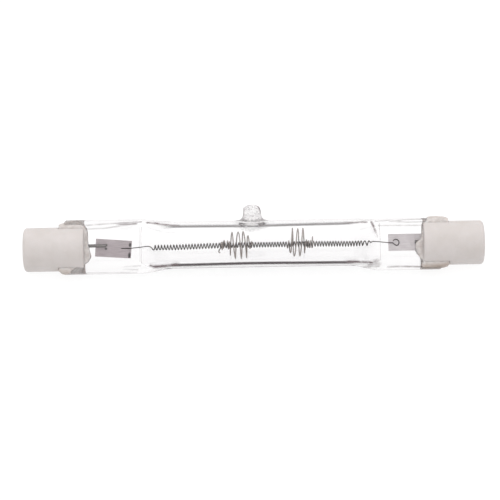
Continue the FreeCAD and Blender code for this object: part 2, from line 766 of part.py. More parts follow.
def filament_strand():
    """Left leg, coil and right leg, whose end curls on its foil. Gives the strand and how many points lie in
    or beside each pinch."""
    level = size("foil_top") + half_side(size("wire_width"))
    strand = Strand()
    foil_edge, foil_y = size("left_foil_start"), size("left_foil_shift")
    bend_y = size("left_leg_shift")
    left_leg = [
        Vector(-foil_edge - size("left_leg_overlap"), foil_y, level),
        Vector(-foil_edge, foil_y, level),
        Vector(-size("left_space_end"), mix(foil_y, bend_y, 0.5), level),
        Vector(-size("left_coil_end") - size("leg_turn_in"), bend_y, level),
    ]
    coil_start = coil_middle(-size("left_coil_end")) - Vector(0, coil_radius(), 0)
    strand.add_level(left_leg, None, coil_start, -1)
    add_coil(strand)
    foil_edge, foil_y = size("right_foil_start"), size("right_foil_shift")
    curl_middle = Vector(foil_edge + size("curl_place"), foil_y, level)
    curl_radius = size("curl_width") / 2
    right_leg = [
        Vector(size("right_coil_end") + size("leg_turn_in") / 2, size("right_leg_shift"), level),
        Vector(size("right_space_end"), size("right_leg_shift"), level),
        Vector(foil_edge, foil_y, level),
        curl_middle - Vector(size("curl_entry"), 0, 0),
    ]
    for i in range(CURL_SIDES + 1):
        turn = math.radians(mix(size("curl_start"), size("curl_end"), i / CURL_SIDES))
        right_leg.append(curl_middle + Vector(math.cos(turn), math.sin(turn), 0) * curl_radius)
    strand.add_level(right_leg, strand.points[-1], None, 1)
    return strand, len(left_leg), len(right_leg)


def filament(doc):
    """Coiled tungsten wire with its two legs, and the two leg ends that the pinches are moulded round."""
    strand, left_count, right_count = filament_strand()
    half = half_side(size("wire_width"))
    made = {}
    for label, first, last in (
        ("filament", 0, None),
        ("left_leg_end", 0, left_count),
        ("right_leg_end", -right_count, None),
    ):
        made[label] = doc.addObject("Part::Feature", label)
        made[label].Shape = strand.solid(half, first, last)
        put(made[label])
    return made


def filament_support(doc, side):
    """Wire wound tightly on the coil, out to the glass in wide loops and back onto the coil."""
    half = half_side(size("support_wire"))
    wrap_radius = (size("coil_width") / 2 + size("wrap_clearance") + half) / math.cos(math.pi / COIL_SIDES)
    loop_radius = size(f"{side}_loop_width") / 2 - half / math.cos(math.pi / LOOP_SIDES)
    loop_y = size("tube_shift") + size(f"{side}_loop_shift")
    way = -SIGN[side]
    first_angle = SIGN[side] * math.pi / 2
    strand = Strand()
    for along, around, opened in support_steps(side):
        place = size(f"{side}_support_place") + way * along
        on_coil = coil_middle(place)
        middle = mix(on_coil, Vector(place, loop_y, support_middle(side)), opened)
        strand.add_turn(middle, mix(wrap_radius, loop_radius, opened), first_angle + 2 * math.pi * around)
    start = strand.points[0]
    loose = start + Vector(0, -way * size("support_tail"), 0)
    strand.points.insert(0, loose)
    strand.faces.insert(0, strand.faces[0])
    support = doc.addObject("Part::Feature", f"{side}_filament_support")
    support.Shape = strand.solid(half)
    put(support)
    return support


def cap_cement(doc, side, glass, lead):
    """Cement that fills the cap's slot round the pinch and bulges a little out of it."""
    body = new_body(doc, f"{side}_cement_filling")
    half, inner = "cement_width / 2", "-cement_bulge"
    plan = [(inner, f"-{half}"), ("slot_depth", f"-{half}"), ("slot_depth", half), (inner, half)]
    pad = body.newObject("PartDesign::Pad", "filling")
    pad.Profile = body_profile(body, "XY_Plane", plan, "plan")
    pad.Midplane = True
    bind(pad, "Length", "slot_width")
    rounded(doc, body, pad, stands, "cement_corner", "corners")
    face_outward(body, side, "mouth")
    core = doc.addObject("Part::MultiFuse", f"{side}_cement_core")
    core.Shapes = [glass, lead]
    cement = doc.addObject("Part::Cut", f"{side}_cap_cement")
    cement.Base, cement.Tool = body, core
    return cement


def build(doc):
    """Makes every piece and gives them by node name."""
    nodes = {}
    wires = filament(doc)
    nodes["filament"] = wires["filament"]
    glass = [glass_tube(doc), exhaust_tip(doc)]
    hollows = [sealed_space(doc), exhaust_channel(doc), wires["left_leg_end"], wires["right_leg_end"]]
    for side in SIGN:
        flat = pinch(doc, side)
        strip = foil(doc, side)
        lead = outer_lead(doc, side, strip)
        glass += [shoulder(doc, side), flat]
        hollows += [strip, lead]
        nodes[f"{side}_foil"] = strip
        nodes[f"{side}_outer_lead"] = lead
        nodes[f"{side}_ceramic_cap"] = ceramic_cap(doc, side)
        nodes[f"{side}_contact"] = contact(doc, side)
        nodes[f"{side}_cap_cement"] = cap_cement(doc, side, flat, lead)
        nodes[f"{side}_filament_support"] = filament_support(doc, side)
    blown = doc.addObject("Part::MultiFuse", "blown_glass")
    blown.Shapes = glass
    inside = doc.addObject("Part::MultiFuse", "glass_hollows")
    inside.Shapes = hollows
    envelope = doc.addObject("Part::Cut", "quartz_envelope")
    envelope.Base, envelope.Tool = blown, inside
    nodes["quartz_envelope"] = envelope
    return nodes


def lay_down(doc):
    """Gathers the lamp's objects in one part, turned and raised so that the lamp rests on the surface."""
    lamp = doc.addObject("App::Part", "lamp")
    loose = [thing for thing in doc.Objects if thing.isDerivedFrom("Part::Feature")]
    lamp.addObjects([thing for thing in loose if thing.getParentGeoFeatureGroup() is None])
    lamp.Placement = FreeCAD.Placement(Vector(), FreeCAD.Rotation(Vector(1, 0, 0), 1))
    put(lamp, "0", "rest_across", "rest_height")
    bind(lamp, "Placement.Rotation.Angle", "rest_turn")
    return lamp


def failed(thing):
    """Whether a recompute left this object in a bad state."""
    return any(word in thing.State for word in ("Invalid", "Error"))


def check(doc, nodes):
    """Stops with the names of all that failed, before anything is written."""
    faults = [thing.Name for thing in doc.Objects if failed(thing)]
    for name, thing in nodes.items():
        if thing.Shape.isNull() or not thing.Shape.isValid() or not thing.Shape.Solids:
            faults.append(name)
    if faults:
        raise RuntimeError("not built: " + ", ".join(faults))


def main():
    doc = FreeCAD.newDocument("halogen_lamp")
    fill_sheet(doc)
    fill_places(doc)
    doc.recompute()
    nodes = build(doc)
    lamp = lay_down(doc)
    doc.recompute()
    check(doc, nodes)
    os.makedirs("parts", exist_ok=True)
    for name, thing in nodes.items():
        thing.Label = name
        piece = thing.Shape.copy()
        piece.Placement = lamp.Placement.multiply(piece.Placement)
        piece.exportStep(f"parts/{name}.step")
        print(f"{name}: {len(piece.Solids)} solid, {piece.Volume:.3f} mm3")


main()
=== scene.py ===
"""A short double-ended halogen lamp: quartz, coil, seals and ceramic ends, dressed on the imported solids."""

import logging
import math
from contextlib import contextmanager
from dataclasses import dataclass, field
from enum import Enum
from functools import cache
from typing import Iterable, Iterator, Protocol, Sequence

import bmesh
import bpy
import numpy as np
from mathutils import Matrix, Vector, noise


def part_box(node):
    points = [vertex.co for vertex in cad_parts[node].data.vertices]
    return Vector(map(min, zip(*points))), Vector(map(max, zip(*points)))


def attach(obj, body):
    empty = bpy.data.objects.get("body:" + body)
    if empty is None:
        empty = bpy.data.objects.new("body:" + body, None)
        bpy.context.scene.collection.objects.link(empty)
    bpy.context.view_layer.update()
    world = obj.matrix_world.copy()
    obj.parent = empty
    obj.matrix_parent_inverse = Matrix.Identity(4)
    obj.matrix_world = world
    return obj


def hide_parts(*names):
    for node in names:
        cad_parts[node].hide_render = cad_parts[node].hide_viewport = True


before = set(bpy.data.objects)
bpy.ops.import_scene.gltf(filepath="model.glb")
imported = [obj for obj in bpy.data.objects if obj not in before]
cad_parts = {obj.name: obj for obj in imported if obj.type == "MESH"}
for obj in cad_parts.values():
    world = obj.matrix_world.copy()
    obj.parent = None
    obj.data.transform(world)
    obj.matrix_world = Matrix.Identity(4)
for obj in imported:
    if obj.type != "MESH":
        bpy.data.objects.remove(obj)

MM = 0.001
BODY = "root"
MIX_INPUTS = (0, 6, 7)
"""Where a colour Mix node has its share and its two colours."""
MIX_OUTPUT = 2
SUBSURFACE = {"Subsurface_Radius": (1.0, 0.8, 0.7), "Subsurface_Scale": 0.0006}
"""How far light gets under the surface of ceramic and cement."""
log = logging.getLogger("halogen_lamp")

Colour = tuple[float, float, float]
Point = tuple[float, float]
Socket = bpy.types.NodeSocket
Piece = bpy.types.Object
Material = bpy.types.Material


class Side(Enum):
    """One end of the lamp, with the way it points along X."""

    LEFT = -1
    RIGHT = 1

    @property
    def word(self) -> str:
        """The side's name as the nodes have it."""
        return self.name.lower()


def eased(share: float) -> float:
    """A share from nought to one that starts and ends gently."""
    share = min(max(share, 0.0), 1.0)
    return share * share * (3 - 2 * share)


def mixed(start: float, end: float, share: float) -> float:
    """The value at a share of the way from start to end."""
    return start + (end - start) * share


def flowing(points: Sequence[Sequence[float]], count: int) -> np.ndarray:
    """A smooth curve through given points.

    Args:
        points: The points, of two or three numbers each.
        count: How many points the curve gets, evenly spaced in the parameter.

    Returns:
        The curve's points, one row each.
    """
    known = np.array(points, float)
    known = np.vstack([2 * known[0] - known[1], known, 2 * known[-1] - known[-2]])
    curve = []
    for place in np.linspace(0, len(points) - 1, count):
        first = min(int(place), len(points) - 2)
        t = place - first
        a, b, c, d = known[first : first + 4]
        square, cube = 2 * a - 5 * b + 4 * c - d, 3 * b - a - 3 * c + d
        curve.append(0.5 * (2 * b + (c - a) * t + square * t**2 + cube * t**3))
    return np.array(curve)


@dataclass(frozen=True)
class LampPlaces:
    """How the lamp lies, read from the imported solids. Lengths are in millimetres.

    The pieces are drawn from the middle of the caps' axis, with the exhaust tip towards Y and the flat
    pinches in the plane of X and Y. The pose then lays them down.
    """

    axis_y: float
    axis_z: float
    mouth: float
    end: float
    turn: float = 35.305

    @classmethod
    def read(cls) -> "LampPlaces":
        """Measures the right cap's box.

        Returns:
            The caps' common axis, their mouths and their outer ends.
        """
        low, high = (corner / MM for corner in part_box("right_ceramic_cap"))
        return cls((low.y + high.y) / 2, (low.z + high.z) / 2, low.x, high.x)

    @property
    def pose(self) -> Matrix:
        """The move, in metres, from the lamp's own frame to where it rests."""
        turn = Matrix.Rotation(math.radians(self.turn), 4, "X")
        return Matrix.Translation((0, self.axis_y * MM, self.axis_z * MM)) @ turn


PLACES = LampPlaces.read()


class NodeGraph:
    """A node tree under construction, with short calls for its nodes and links."""

    prefix = ""

    def __init__(self, tree: bpy.types.NodeTree) -> None:
        """Starts on that tree."""
        self.tree = tree

    def link(self, source: Socket, target: Socket) -> None:
        """Joins two sockets."""
        self.tree.links.new(source, target)

    def feed(self, socket: Socket, value: object) -> None:
        """Gives a socket a value or a source."""
        if isinstance(value, Socket):
            self.link(value, socket)
        else:
            socket.default_value = value

    def add(self, kind: str, settings: dict | None = None, **values: object) -> bpy.types.Node:
        """Adds a node.

        Args:
            kind: The node's type, without the graph's prefix.
            settings: Properties of the node itself.
            values: Values or sources of its input sockets, with underscores for spaces.

        Returns:
            The new node.
        """
        node = self.tree.nodes.new(self.prefix + kind)
        for key, value in (settings or {}).items():
            setattr(node, key, value)
        for key, value in values.items():
            self.feed(node.inputs[key.replace("_", " ")], value)
        return node

    def math(self, operation: str, *values: object) -> Socket:
        """The result of a calculation with numbers or sockets."""
        node = self.tree.nodes.new("ShaderNodeMath")
        node.operation = operation
        for socket, value in zip(node.inputs, values):
            self.feed(socket, value)
        return node.outputs[0]


class ShaderGraph(NodeGraph):
    """A material under construction."""

    prefix = "ShaderNode"

    def __init__(self, name: str) -> None:
        """Makes an empty material of that name."""
        self.material = bpy.data.materials.new(name)
        self.material.use_nodes = True
        super().__init__(self.material.node_tree)
        self.tree.nodes.clear()
        self.output = self.add("OutputMaterial")

    def noise(self, scale: float, detail: float = 3.0, roughness: float = 0.55) -> Socket:
        """A noise pattern on object coordinates.

        Args:
            scale: Repeats for each metre.
            detail: Octaves.
            roughness: How strongly the finer octaves show.

        Returns:
            The pattern's value socket.
        """
        where = self.add("TexCoord").outputs["Object"]
        node = self.add("TexNoise", Vector=where, Scale=scale, Detail=detail, Roughness=roughness)
        return node.outputs["Fac"]

    def ramp(self, value: Socket, stops: Sequence[tuple[float, Colour]]) -> Socket:
        """Colours for a value.

        Args:
            value: The socket that drives it.
            stops: Places from nought to one with their colours.

        Returns:
            The colour socket.
        """
        node = self.add("ValToRGB", Fac=value)
        elements = node.color_ramp.elements
        elements.remove(elements[1])
        elements[0].position = stops[0][0]
        elements[0].color = (*stops[0][1], 1)
        for place, colour in stops[1:]:
            elements.new(place).color = (*colour, 1)
        return node.outputs["Color"]

    def shares(self, value: Socket, stops: Sequence[Point]) -> Socket:
        """A number from nought to one for a value, from places with their numbers."""
        return self.ramp(value, [(place, (share,) * 3) for place, share in stops])

    def product(self, first: Socket, second: Socket) -> Socket:
        """The product of two sockets."""
        return self.math("MULTIPLY", first, second)

    def laid_over(
        self, colour: Colour, below: Socket, share: Socket
    ) -> Socket:
        """A colour laid over a pattern.

        Args:
            colour: The colour on top.
            below: The pattern's colours.
            share: How much of the colour shows, from nought to one.

        Returns:
            The colour socket.
        """
        node = self.add("Mix", {"data_type": "RGBA"})
        for place, value in zip(MIX_INPUTS, (share, below, (*colour, 1))):
            self.feed(node.inputs[place], value)
        return node.outputs[MIX_OUTPUT]

    def read(self, name: str) -> Socket:
        """The number that a mesh keeps under that name."""
        return self.add("Attribute", {"attribute_name": name}).outputs["Fac"]

    def bump(
        self, height: Socket, depth: float, before: Socket | None = None
    ) -> Socket:
        """A bump of that depth in metres.

        Args:
            height: The socket with the relief, from nought to one.
            depth: Height of the relief in metres.
            before: A normal that the bump adds to.

        Returns:
            The normal socket.
        """
        node = self.add("Bump", Height=height, Strength=1.0, Distance=depth)
        if before is not None:
            self.link(before, node.inputs["Normal"])
        return node.outputs["Normal"]

    def surface(self, shader: bpy.types.Node) -> Material:
        """Ends the material with that shader."""
        self.link(shader.outputs[0], self.output.inputs["Surface"])
        return self.material


@dataclass(frozen=True)
class QuartzFinish:
    """Clear fused quartz with painted shade on its edges and folds.

    White light from all round leaves clear glass with hardly an edge. A dark diffuse, painted shade, stands
    in for the dark
    edges of the photograph: on the bore and the outer skin by how steeply they are seen, with strengths kept
    in the mesh, and along the folds by their strength alone. The painted edges move with the view, so a baked
    model can't hold them.
    """

    name: str = "fused_quartz"
    colour: Colour = (0.99, 0.985, 0.988)
    index: float = 1.458
    # Painted shade: dark diffuse colours laid over the glass on the bore's edge, the outer edge and the
    # folds.
    painted_bore_shade: Colour = (0.055, 0.035, 0.042)
    painted_outer_shade: Colour = (0.50, 0.45, 0.465)
    painted_crease_shade: Colour = (0.20, 0.165, 0.17)
    milk: Colour = (0.74, 0.715, 0.72)
    bore_shade_band: tuple[float, float, float, float] = (0.235, 0.27, 0.325, 0.385)
    outer_shade_band: tuple[float, float] = (0.30, 0.92)

    def material(self) -> Material:
        """Builds the finish.

        Returns:
            The material; it reads point attributes with the strength of the painted shade on the bore's edge,
            on the outer edge and along the folds, and of the milky glass that was drawn off at the tip.
        """
        graph = ShaderGraph(self.name)
        glass = graph.add(
            "BsdfPrincipled",
            Base_Color=(*self.colour, 1),
            Roughness=0.0,
            IOR=self.index,
            Transmission_Weight=1.0,
        )
        # Painted shade: where the bore and the outer skin are seen steeply, a dark diffuse is mixed into the
        # glass.
        facing = graph.add("LayerWeight", Blend=0.5).outputs["Facing"]
        from_glass = graph.add("NewGeometry").outputs["Backfacing"]
        rise, full, fade, end = self.bore_shade_band
        bore_shade_band = graph.shares(facing, [(rise, 0.0), (full, 1.0), (fade, 1.0), (end, 0.0)])
        bore = graph.product(graph.product(bore_shade_band, graph.read("painted_bore_shade")), from_glass)
        start, whole = self.outer_shade_band
        outer = graph.product(graph.shares(facing, [(start, 0.0), (whole, 1.0)]), graph.read("painted_outer_shade"))
        shader = glass
        cloud = graph.shares(graph.noise(scale=2600), [(0.35, 0.45), (0.62, 1.0)])
        milk = graph.product(cloud, graph.read("milk"))
        layers = (
            (milk, self.milk),
            (outer, self.painted_outer_shade),
            (bore, self.painted_bore_shade),
            (graph.read("painted_crease_shade"), self.painted_crease_shade),
        )
        # Every layer but the milky one lays painted shade over the glass.
        for share, colour in layers:
            rim = graph.add("BsdfDiffuse", Color=(*colour, 1))
            mix = graph.add("MixShader", Fac=share)
            graph.link(shader.outputs[0], mix.inputs[1])
            graph.link(rim.outputs[0], mix.inputs[2])
            shader = mix
        return graph.surface(shader)


@dataclass(frozen=True)
class CeramicFinish:
    """Unglazed steatite, warm white, with a fine grain and faint handling marks."""

    name: str = "steatite"
    light: Colour = (0.60, 0.56, 0.55)
    dark: Colour = (0.55, 0.51, 0.49)
    mark: Colour = (0.44, 0.39, 0.35)

    def material(self) -> Material:
        """Builds the finish.

        Returns:
            The material.
        """
        graph = ShaderGraph(self.name)
        cloud = graph.ramp(graph.noise(scale=330, detail=4), [(0.32, self.dark), (0.68, self.light)])
        spots = graph.shares(graph.noise(scale=1500, detail=5, roughness=0.7), [(0.70, 0.0), (0.78, 1.0)])
        grain = graph.bump(graph.noise(scale=9000, detail=4, roughness=0.6), depth=0.00002)
        pits = graph.bump(graph.noise(scale=2300, roughness=0.6), depth=0.00003, before=grain)
        shader = graph.add(
            "BsdfPrincipled",
            Base_Color=graph.laid_over(self.mark, cloud, spots),
            Roughness=0.62,
            IOR=1.55,
            Normal=pits,
            Subsurface_Weight=0.12,
            **SUBSURFACE,
        )
        return graph.surface(shader)


@dataclass(frozen=True)
class CementFinish:
    """Set cement, near the ceramic's colour, grainy, and brown where it thins out at the tube's edges."""

    name: str = "cap_cement"
    light: Colour = (0.64, 0.605, 0.59)
    dark: Colour = (0.50, 0.46, 0.44)
    brown: Colour = (0.36, 0.285, 0.235)

    def material(self) -> Material:
        """Builds the finish.

        Returns:
            The material; it reads the point attribute "stain", which is one on the brown edges.
        """
        graph = ShaderGraph(self.name)
        cloud = graph.noise(scale=1100, detail=5, roughness=0.65)
        colour = graph.ramp(cloud, [(0.34, self.dark), (0.62, self.light)])
        shader = graph.add(
            "BsdfPrincipled",
            Base_Color=graph.laid_over(self.brown, colour, graph.read("stain")),
            Roughness=0.8,
            Normal=graph.bump(graph.noise(scale=3800, detail=5, roughness=0.7), depth=0.00006),
            Subsurface_Weight=0.25,
            **SUBSURFACE,
        )
        return graph.surface(shader)


@dataclass(frozen=True)
class WireFinish:
    """A drawn or wound wire; the winding's turns stand out as ridges along it."""

    name: str
    colour: Colour
    roughness: float
    winding: float = 0.0

    def material(self) -> Material:
        """Builds the finish.

        Returns:
            The material; a wound one reads the attribute "along", the distance along the wire in metres.
        """
        graph = ShaderGraph(self.name)
        low = tuple(channel * 0.6 for channel in self.colour)
        colour = graph.ramp(graph.noise(scale=2600), [(0.35, low), (0.65, self.colour)])
        shader = graph.add("BsdfPrincipled", Base_Color=colour, Metallic=1.0, Roughness=self.roughness)
        if self.winding:
            turns = graph.math("MULTIPLY", graph.read("along"), 2 * math.pi / self.winding)
            ridges = graph.bump(graph.math("SINE", turns), self.winding / 4)
            graph.link(ridges, shader.inputs["Normal"])
        return graph.surface(shader)


@dataclass(frozen=True)
class FoilFinish:
    """Molybdenum strip sealed in the glass, matt with fine rolling lines and darker spot welds."""

    name: str = "molybdenum_foil"
    light: Colour = (0.60, 0.535, 0.555)
    dark: Colour = (0.46, 0.40, 0.42)
    weld: Colour = (0.035, 0.03, 0.03)

    def material(self) -> Material:
        """Builds the finish.

        Returns:
            The material; it reads the point attribute "weld", which is one on the weld marks.
        """
        graph = ShaderGraph(self.name)
        where = graph.add("TexCoord").outputs["Object"]
        rolled = graph.add("Mapping", Vector=where, Scale=(600.0, 9000.0, 600.0)).outputs["Vector"]
        lines = graph.add("TexNoise", Vector=rolled, Scale=1.0, Detail=2.0).outputs["Fac"]
        colour = graph.ramp(lines, [(0.3, self.dark), (0.7, self.light)])
        shader = graph.add(
            "BsdfPrincipled",
            Base_Color=graph.laid_over(self.weld, colour, graph.read("weld")),
            Metallic=0.25,
            Roughness=0.5,
            Normal=graph.bump(lines, depth=0.000006),
        )
        return graph.surface(shader)


@dataclass(frozen=True)
class NickelFinish:
    """Mottled nickel with a fine grain."""

    name: str = "nickel_contact"
    light: Colour = (0.66, 0.62, 0.56)
    dark: Colour = (0.42, 0.39, 0.35)

    def material(self) -> Material:
        """Builds the finish.

        Returns:
            The material.
        """
        graph = ShaderGraph(self.name)
        colour = graph.ramp(graph.noise(scale=1400, detail=4), [(0.35, self.dark), (0.6, self.light)])
        relief = graph.bump(graph.noise(scale=5200), depth=0.00001)
        shader = graph.add("BsdfPrincipled", Base_Color=colour, Metallic=1.0, Roughness=0.32, Normal=relief)
        return graph.surface(shader)


class Finish(Protocol):
    """Anything that can build a material."""

    def material(self) -> Material:
        """Builds the finish."""


@cache
def made(finish: Finish) -> Material:
    """The material of a finish, built once and shared by all that wear it."""
    return finish.material()


def linked(name: str, data: bpy.types.ID) -> Piece:
    """Puts a mesh or camera into the scene as an object of that name, at the origin."""
    thing = bpy.data.objects.new(name, data)
    bpy.context.scene.collection.objects.link(thing)
    return thing


def keep(mesh: bpy.types.Mesh, title: str, values: Sequence[float]) -> None:
    """Stores one number for each point of a mesh under that title."""
    mesh.attributes.new(title, "FLOAT", "POINT").data.foreach_set("value", values)


@contextmanager
def reworked(mesh: bpy.types.Mesh) -> Iterator[bmesh.types.BMesh]:
    """Opens a mesh for work on its points and faces, and writes it back afterwards."""
    work = bmesh.new()
    work.from_mesh(mesh)
    yield work
    work.to_mesh(mesh)
    work.free()


def mesh_piece(
    name: str, points: np.ndarray, faces: Iterable[Sequence[int]], material: Material
) -> Piece:
    """Makes a smooth-shaded piece from points in millimetres.

    Args:
        name: The piece's name.
        points: One row of three numbers for each point.
        faces: Point indices of each face.
        material: Its finish.

    Returns:
        The new object, at the origin.
    """
    mesh = bpy.data.meshes.new(name)
    mesh.from_pydata((points * MM).tolist(), [], [tuple(face) for face in faces])
    mesh.polygons.foreach_set("use_smooth", [True] * len(mesh.polygons))
    mesh.materials.append(material)
    return linked(name, mesh)


def ring_faces(rings: int, around: int, first: int = 0) -> list[tuple[int, ...]]:
    """Faces of a closed skin over a stack of rings, with a cap on each end.

    Args:
        rings: How many rings there are.
        around: Points in each ring.
        first: Index of the first point.

    Returns:
        Four-sided faces and two many-sided caps.
    """
    faces = []
    for i in range(rings - 1):
        for j in range(around):
            k = (j + 1) % around
            low, high = first + i * around, first + (i + 1) * around
            faces.append((low + j, low + k, high + k, high + j))
    last = first + (rings - 1) * around
    faces.append(tuple(range(first + around - 1, first - 1, -1)))
    faces.append(tuple(range(last, last + around)))
    return faces


def tidy(piece: Piece, distance: float) -> None:
    """Merges a piece's points that lie within a distance in metres and turns its faces outward."""
    with reworked(piece.data) as work:
        bmesh.ops.remove_doubles(work, verts=work.verts, dist=distance)
        bmesh.ops.recalc_face_normals(work, faces=work.faces)


def modified(piece: Piece) -> Piece:
    """Applies a piece's modifiers and takes them off.

    Args:
        piece: The piece.

    Returns:
        The same piece, with a plain mesh.
    """
    evaluated = piece.evaluated_get(bpy.context.evaluated_depsgraph_get())
    mesh = bpy.data.meshes.new_from_object(evaluated)
    piece.modifiers.clear()
    piece.data = mesh
    return piece


def dressed(piece: Piece, slot: str, *nodes: str) -> Piece:
    """Puts a finished piece on the lamp's one body in place of its solids.

    Args:
        piece: The finished piece.
        slot: The record's material slot; not used.
        nodes: The solids that it stands for.

    Returns:
        The piece.
    """
    piece.data.transform(PLACES.pose)
    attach(piece, BODY)
    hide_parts(*nodes)
    piece.data.calc_loop_triangles()
    log.info("%s: %d triangles, stands for %s", piece.name, len(piece.data.loop_triangles), ", ".join(nodes))
    return piece


class GeometryTree(NodeGraph):
    """A geometry node tree under construction, with named inputs."""

    def __init__(self, name: str) -> None:
        """Makes a tree that takes and gives geometry."""
        super().__init__(bpy.data.node_groups.new(name, "GeometryNodeTree"))
        for way in ("INPUT", "OUTPUT"):
            self.tree.interface.new_socket("Geometry", in_out=way, socket_type="NodeSocketGeometry")
        self.start = self.add("NodeGroupInput")
        self.end = self.add("NodeGroupOutput")

    def size(self, name: str, kind: str, value: object) -> Socket:
        """Adds a named input.

        Args:
            name: The input's name.
            kind: Its socket type, such as "Float".
            value: Its default.

        Returns:
            The socket inside the tree.
        """
        item = self.tree.interface.new_socket(name, in_out="INPUT", socket_type="NodeSocket" + kind)
        if value is not None:
            item.default_value = value
        return self.start.outputs[name]

    def named(self, name: str) -> Socket:
        """The value of a float attribute."""
        reader = self.add("GeometryNodeInputNamedAttribute", {"data_type": "FLOAT"}, Name=name)
        return reader.outputs["Attribute"]

    def finish(self, geometry: Socket, material: Socket) -> None:
        """Ends the tree with plain, smooth and dressed geometry."""
        smooth = self.add("GeometryNodeSetShadeSmooth", Geometry=geometry).outputs[0]
        real = self.add("GeometryNodeRealizeInstances", Geometry=smooth).outputs[0]
        given = self.add("GeometryNodeSetMaterial", Geometry=real, Material=material).outputs[0]
        self.link(given, self.end.inputs["Geometry"])

    def run(self, piece: Piece, **values: object) -> Piece:
        """Runs the tree on a piece and keeps the result as its mesh.

        Args:
            piece: The piece that it starts from.
            values: The named inputs, with underscores for spaces.

        Returns:
            The piece.
        """
        modifier = piece.modifiers.new(self.tree.name, "NODES")
        modifier.node_group = self.tree
        items = self.tree.interface.items_tree
        known = {item.name: item.identifier for item in items if item.in_out == "INPUT"}
        for name, value in values.items():
            modifier[known[name.replace("_", " ")]] = value
        return modified(piece)


def wound_wire_tree() -> GeometryTree:
    """A tree that winds a round wire about a guide line.

    Returns:
        The tree. Its guide is a line of points with three attributes: "turn", the angle in turns, "reach",
        the distance of the wire's middle from the guide, in metres, and "girth", the wire's share of its
        thickness.
    """
    tree = GeometryTree("wound_wire")
    wire = tree.size("Wire Radius", "Float", 0.0001)
    sides = tree.size("Wire Sides", "Int", 8)
    step = tree.size("Step", "Float", 0.00003)
    uneven = tree.size("Unevenness", "Float", 0.0)
    seed = tree.size("Seed", "Float", 1.0)
    finish = tree.size("Finish", "Material", None)
    curve = tree.add("GeometryNodeMeshToCurve", Mesh=tree.start.outputs["Geometry"]).outputs[0]
    resample = tree.add("GeometryNodeResampleCurve", {"mode": "LENGTH"}, Curve=curve, Length=step)
    angle = tree.math("MULTIPLY", tree.named("turn"), 2 * math.pi)
    reach = tree.named("reach")
    offset = tree.add(
        "ShaderNodeCombineXYZ",
        Y=tree.math("MULTIPLY", tree.math("COSINE", angle), reach),
        Z=tree.math("MULTIPLY", tree.math("SINE", angle), reach),
    ).outputs[0]
    wobble = tree.add("ShaderNodeTexNoise", {"noise_dimensions": "4D"}, W=seed, Scale=1400.0, Detail=1.0)
    centred = tree.add("ShaderNodeVectorMath", {"operation": "SUBTRACT"})
    tree.feed(centred.inputs[0], wobble.outputs["Color"])
    centred.inputs[1].default_value = (0.5, 0.5, 0.5)
    scaled = tree.add("ShaderNodeVectorMath", {"operation": "SCALE"}, Scale=uneven)
    tree.feed(scaled.inputs[0], centred.outputs[0])
    whole = tree.add("ShaderNodeVectorMath", {"operation": "ADD"})
    tree.feed(whole.inputs[0], offset)
    tree.feed(whole.inputs[1], scaled.outputs[0])
    moved = tree.add("GeometryNodeSetPosition", Geometry=resample.outputs[0], Offset=whole.outputs[0])
    length = tree.add("GeometryNodeSplineParameter").outputs["Length"]
    marked = tree.add(
        "GeometryNodeStoreNamedAttribute", Geometry=moved.outputs[0], Name="along", Value=length
    ).outputs[0]
    profile = tree.add("GeometryNodeCurvePrimitiveCircle", Resolution=sides, Radius=wire).outputs[0]
    skin = tree.add(
        "GeometryNodeCurveToMesh",
        Curve=marked,
        Profile_Curve=profile,
        Scale=tree.named("girth"),
        Fill_Caps=True,
    ).outputs[0]
    tree.finish(skin, finish)
    return tree


@dataclass
class GuideLine:
    """Stations of a wound wire, given in millimetres from the caps' axis."""

    places: list[tuple[float, float, float]] = field(default_factory=list)
    turns: list[float] = field(default_factory=list)
    reaches: list[float] = field(default_factory=list)
    girths: list[float] = field(default_factory=list)

    def add(self, place: Sequence[float], turn: float = 0.0, reach: float = 0.0, girth: float = 1.0) -> None:
        """Adds a station: its place, angle in turns, the wire's distance from it and share of thickness."""
        self.places.append((place[0], place[1], place[2]))
        self.turns.append(turn)
        self.reaches.append(reach)
        self.girths.append(girth)

    def piece(self, name: str) -> Piece:
        """Makes the guide as an object.

        Args:
            name: The name of the piece that it will become.

        Returns:
            A line of edges with the attributes that the tree reads.
        """
        mesh = bpy.data.meshes.new(name)
        points = np.array(self.places) * MM
        mesh.from_pydata(points.tolist(), [(i, i + 1) for i in range(len(points) - 1)], [])
        reaches = [reach * MM for reach in self.reaches]
        for title, values in (("turn", self.turns), ("reach", reaches), ("girth", self.girths)):
            keep(mesh, title, values)
        return linked(name, mesh)

    def wound(
        self, tree: GeometryTree, name: str, finish: WireFinish, radius: float, **sizes: float
    ) -> Piece:
        """Winds a wire about the guide.

        Args:
            tree: The winding tree.
            name: The piece's name.
            finish: The wire's finish.
            radius: The wire's radius in millimetres.
            sizes: The tree's other inputs; its lengths in metres.

        Returns:
            The wire.
        """
        return tree.run(self.piece(name), Wire_Radius=radius * MM, Finish=made(finish), **sizes)


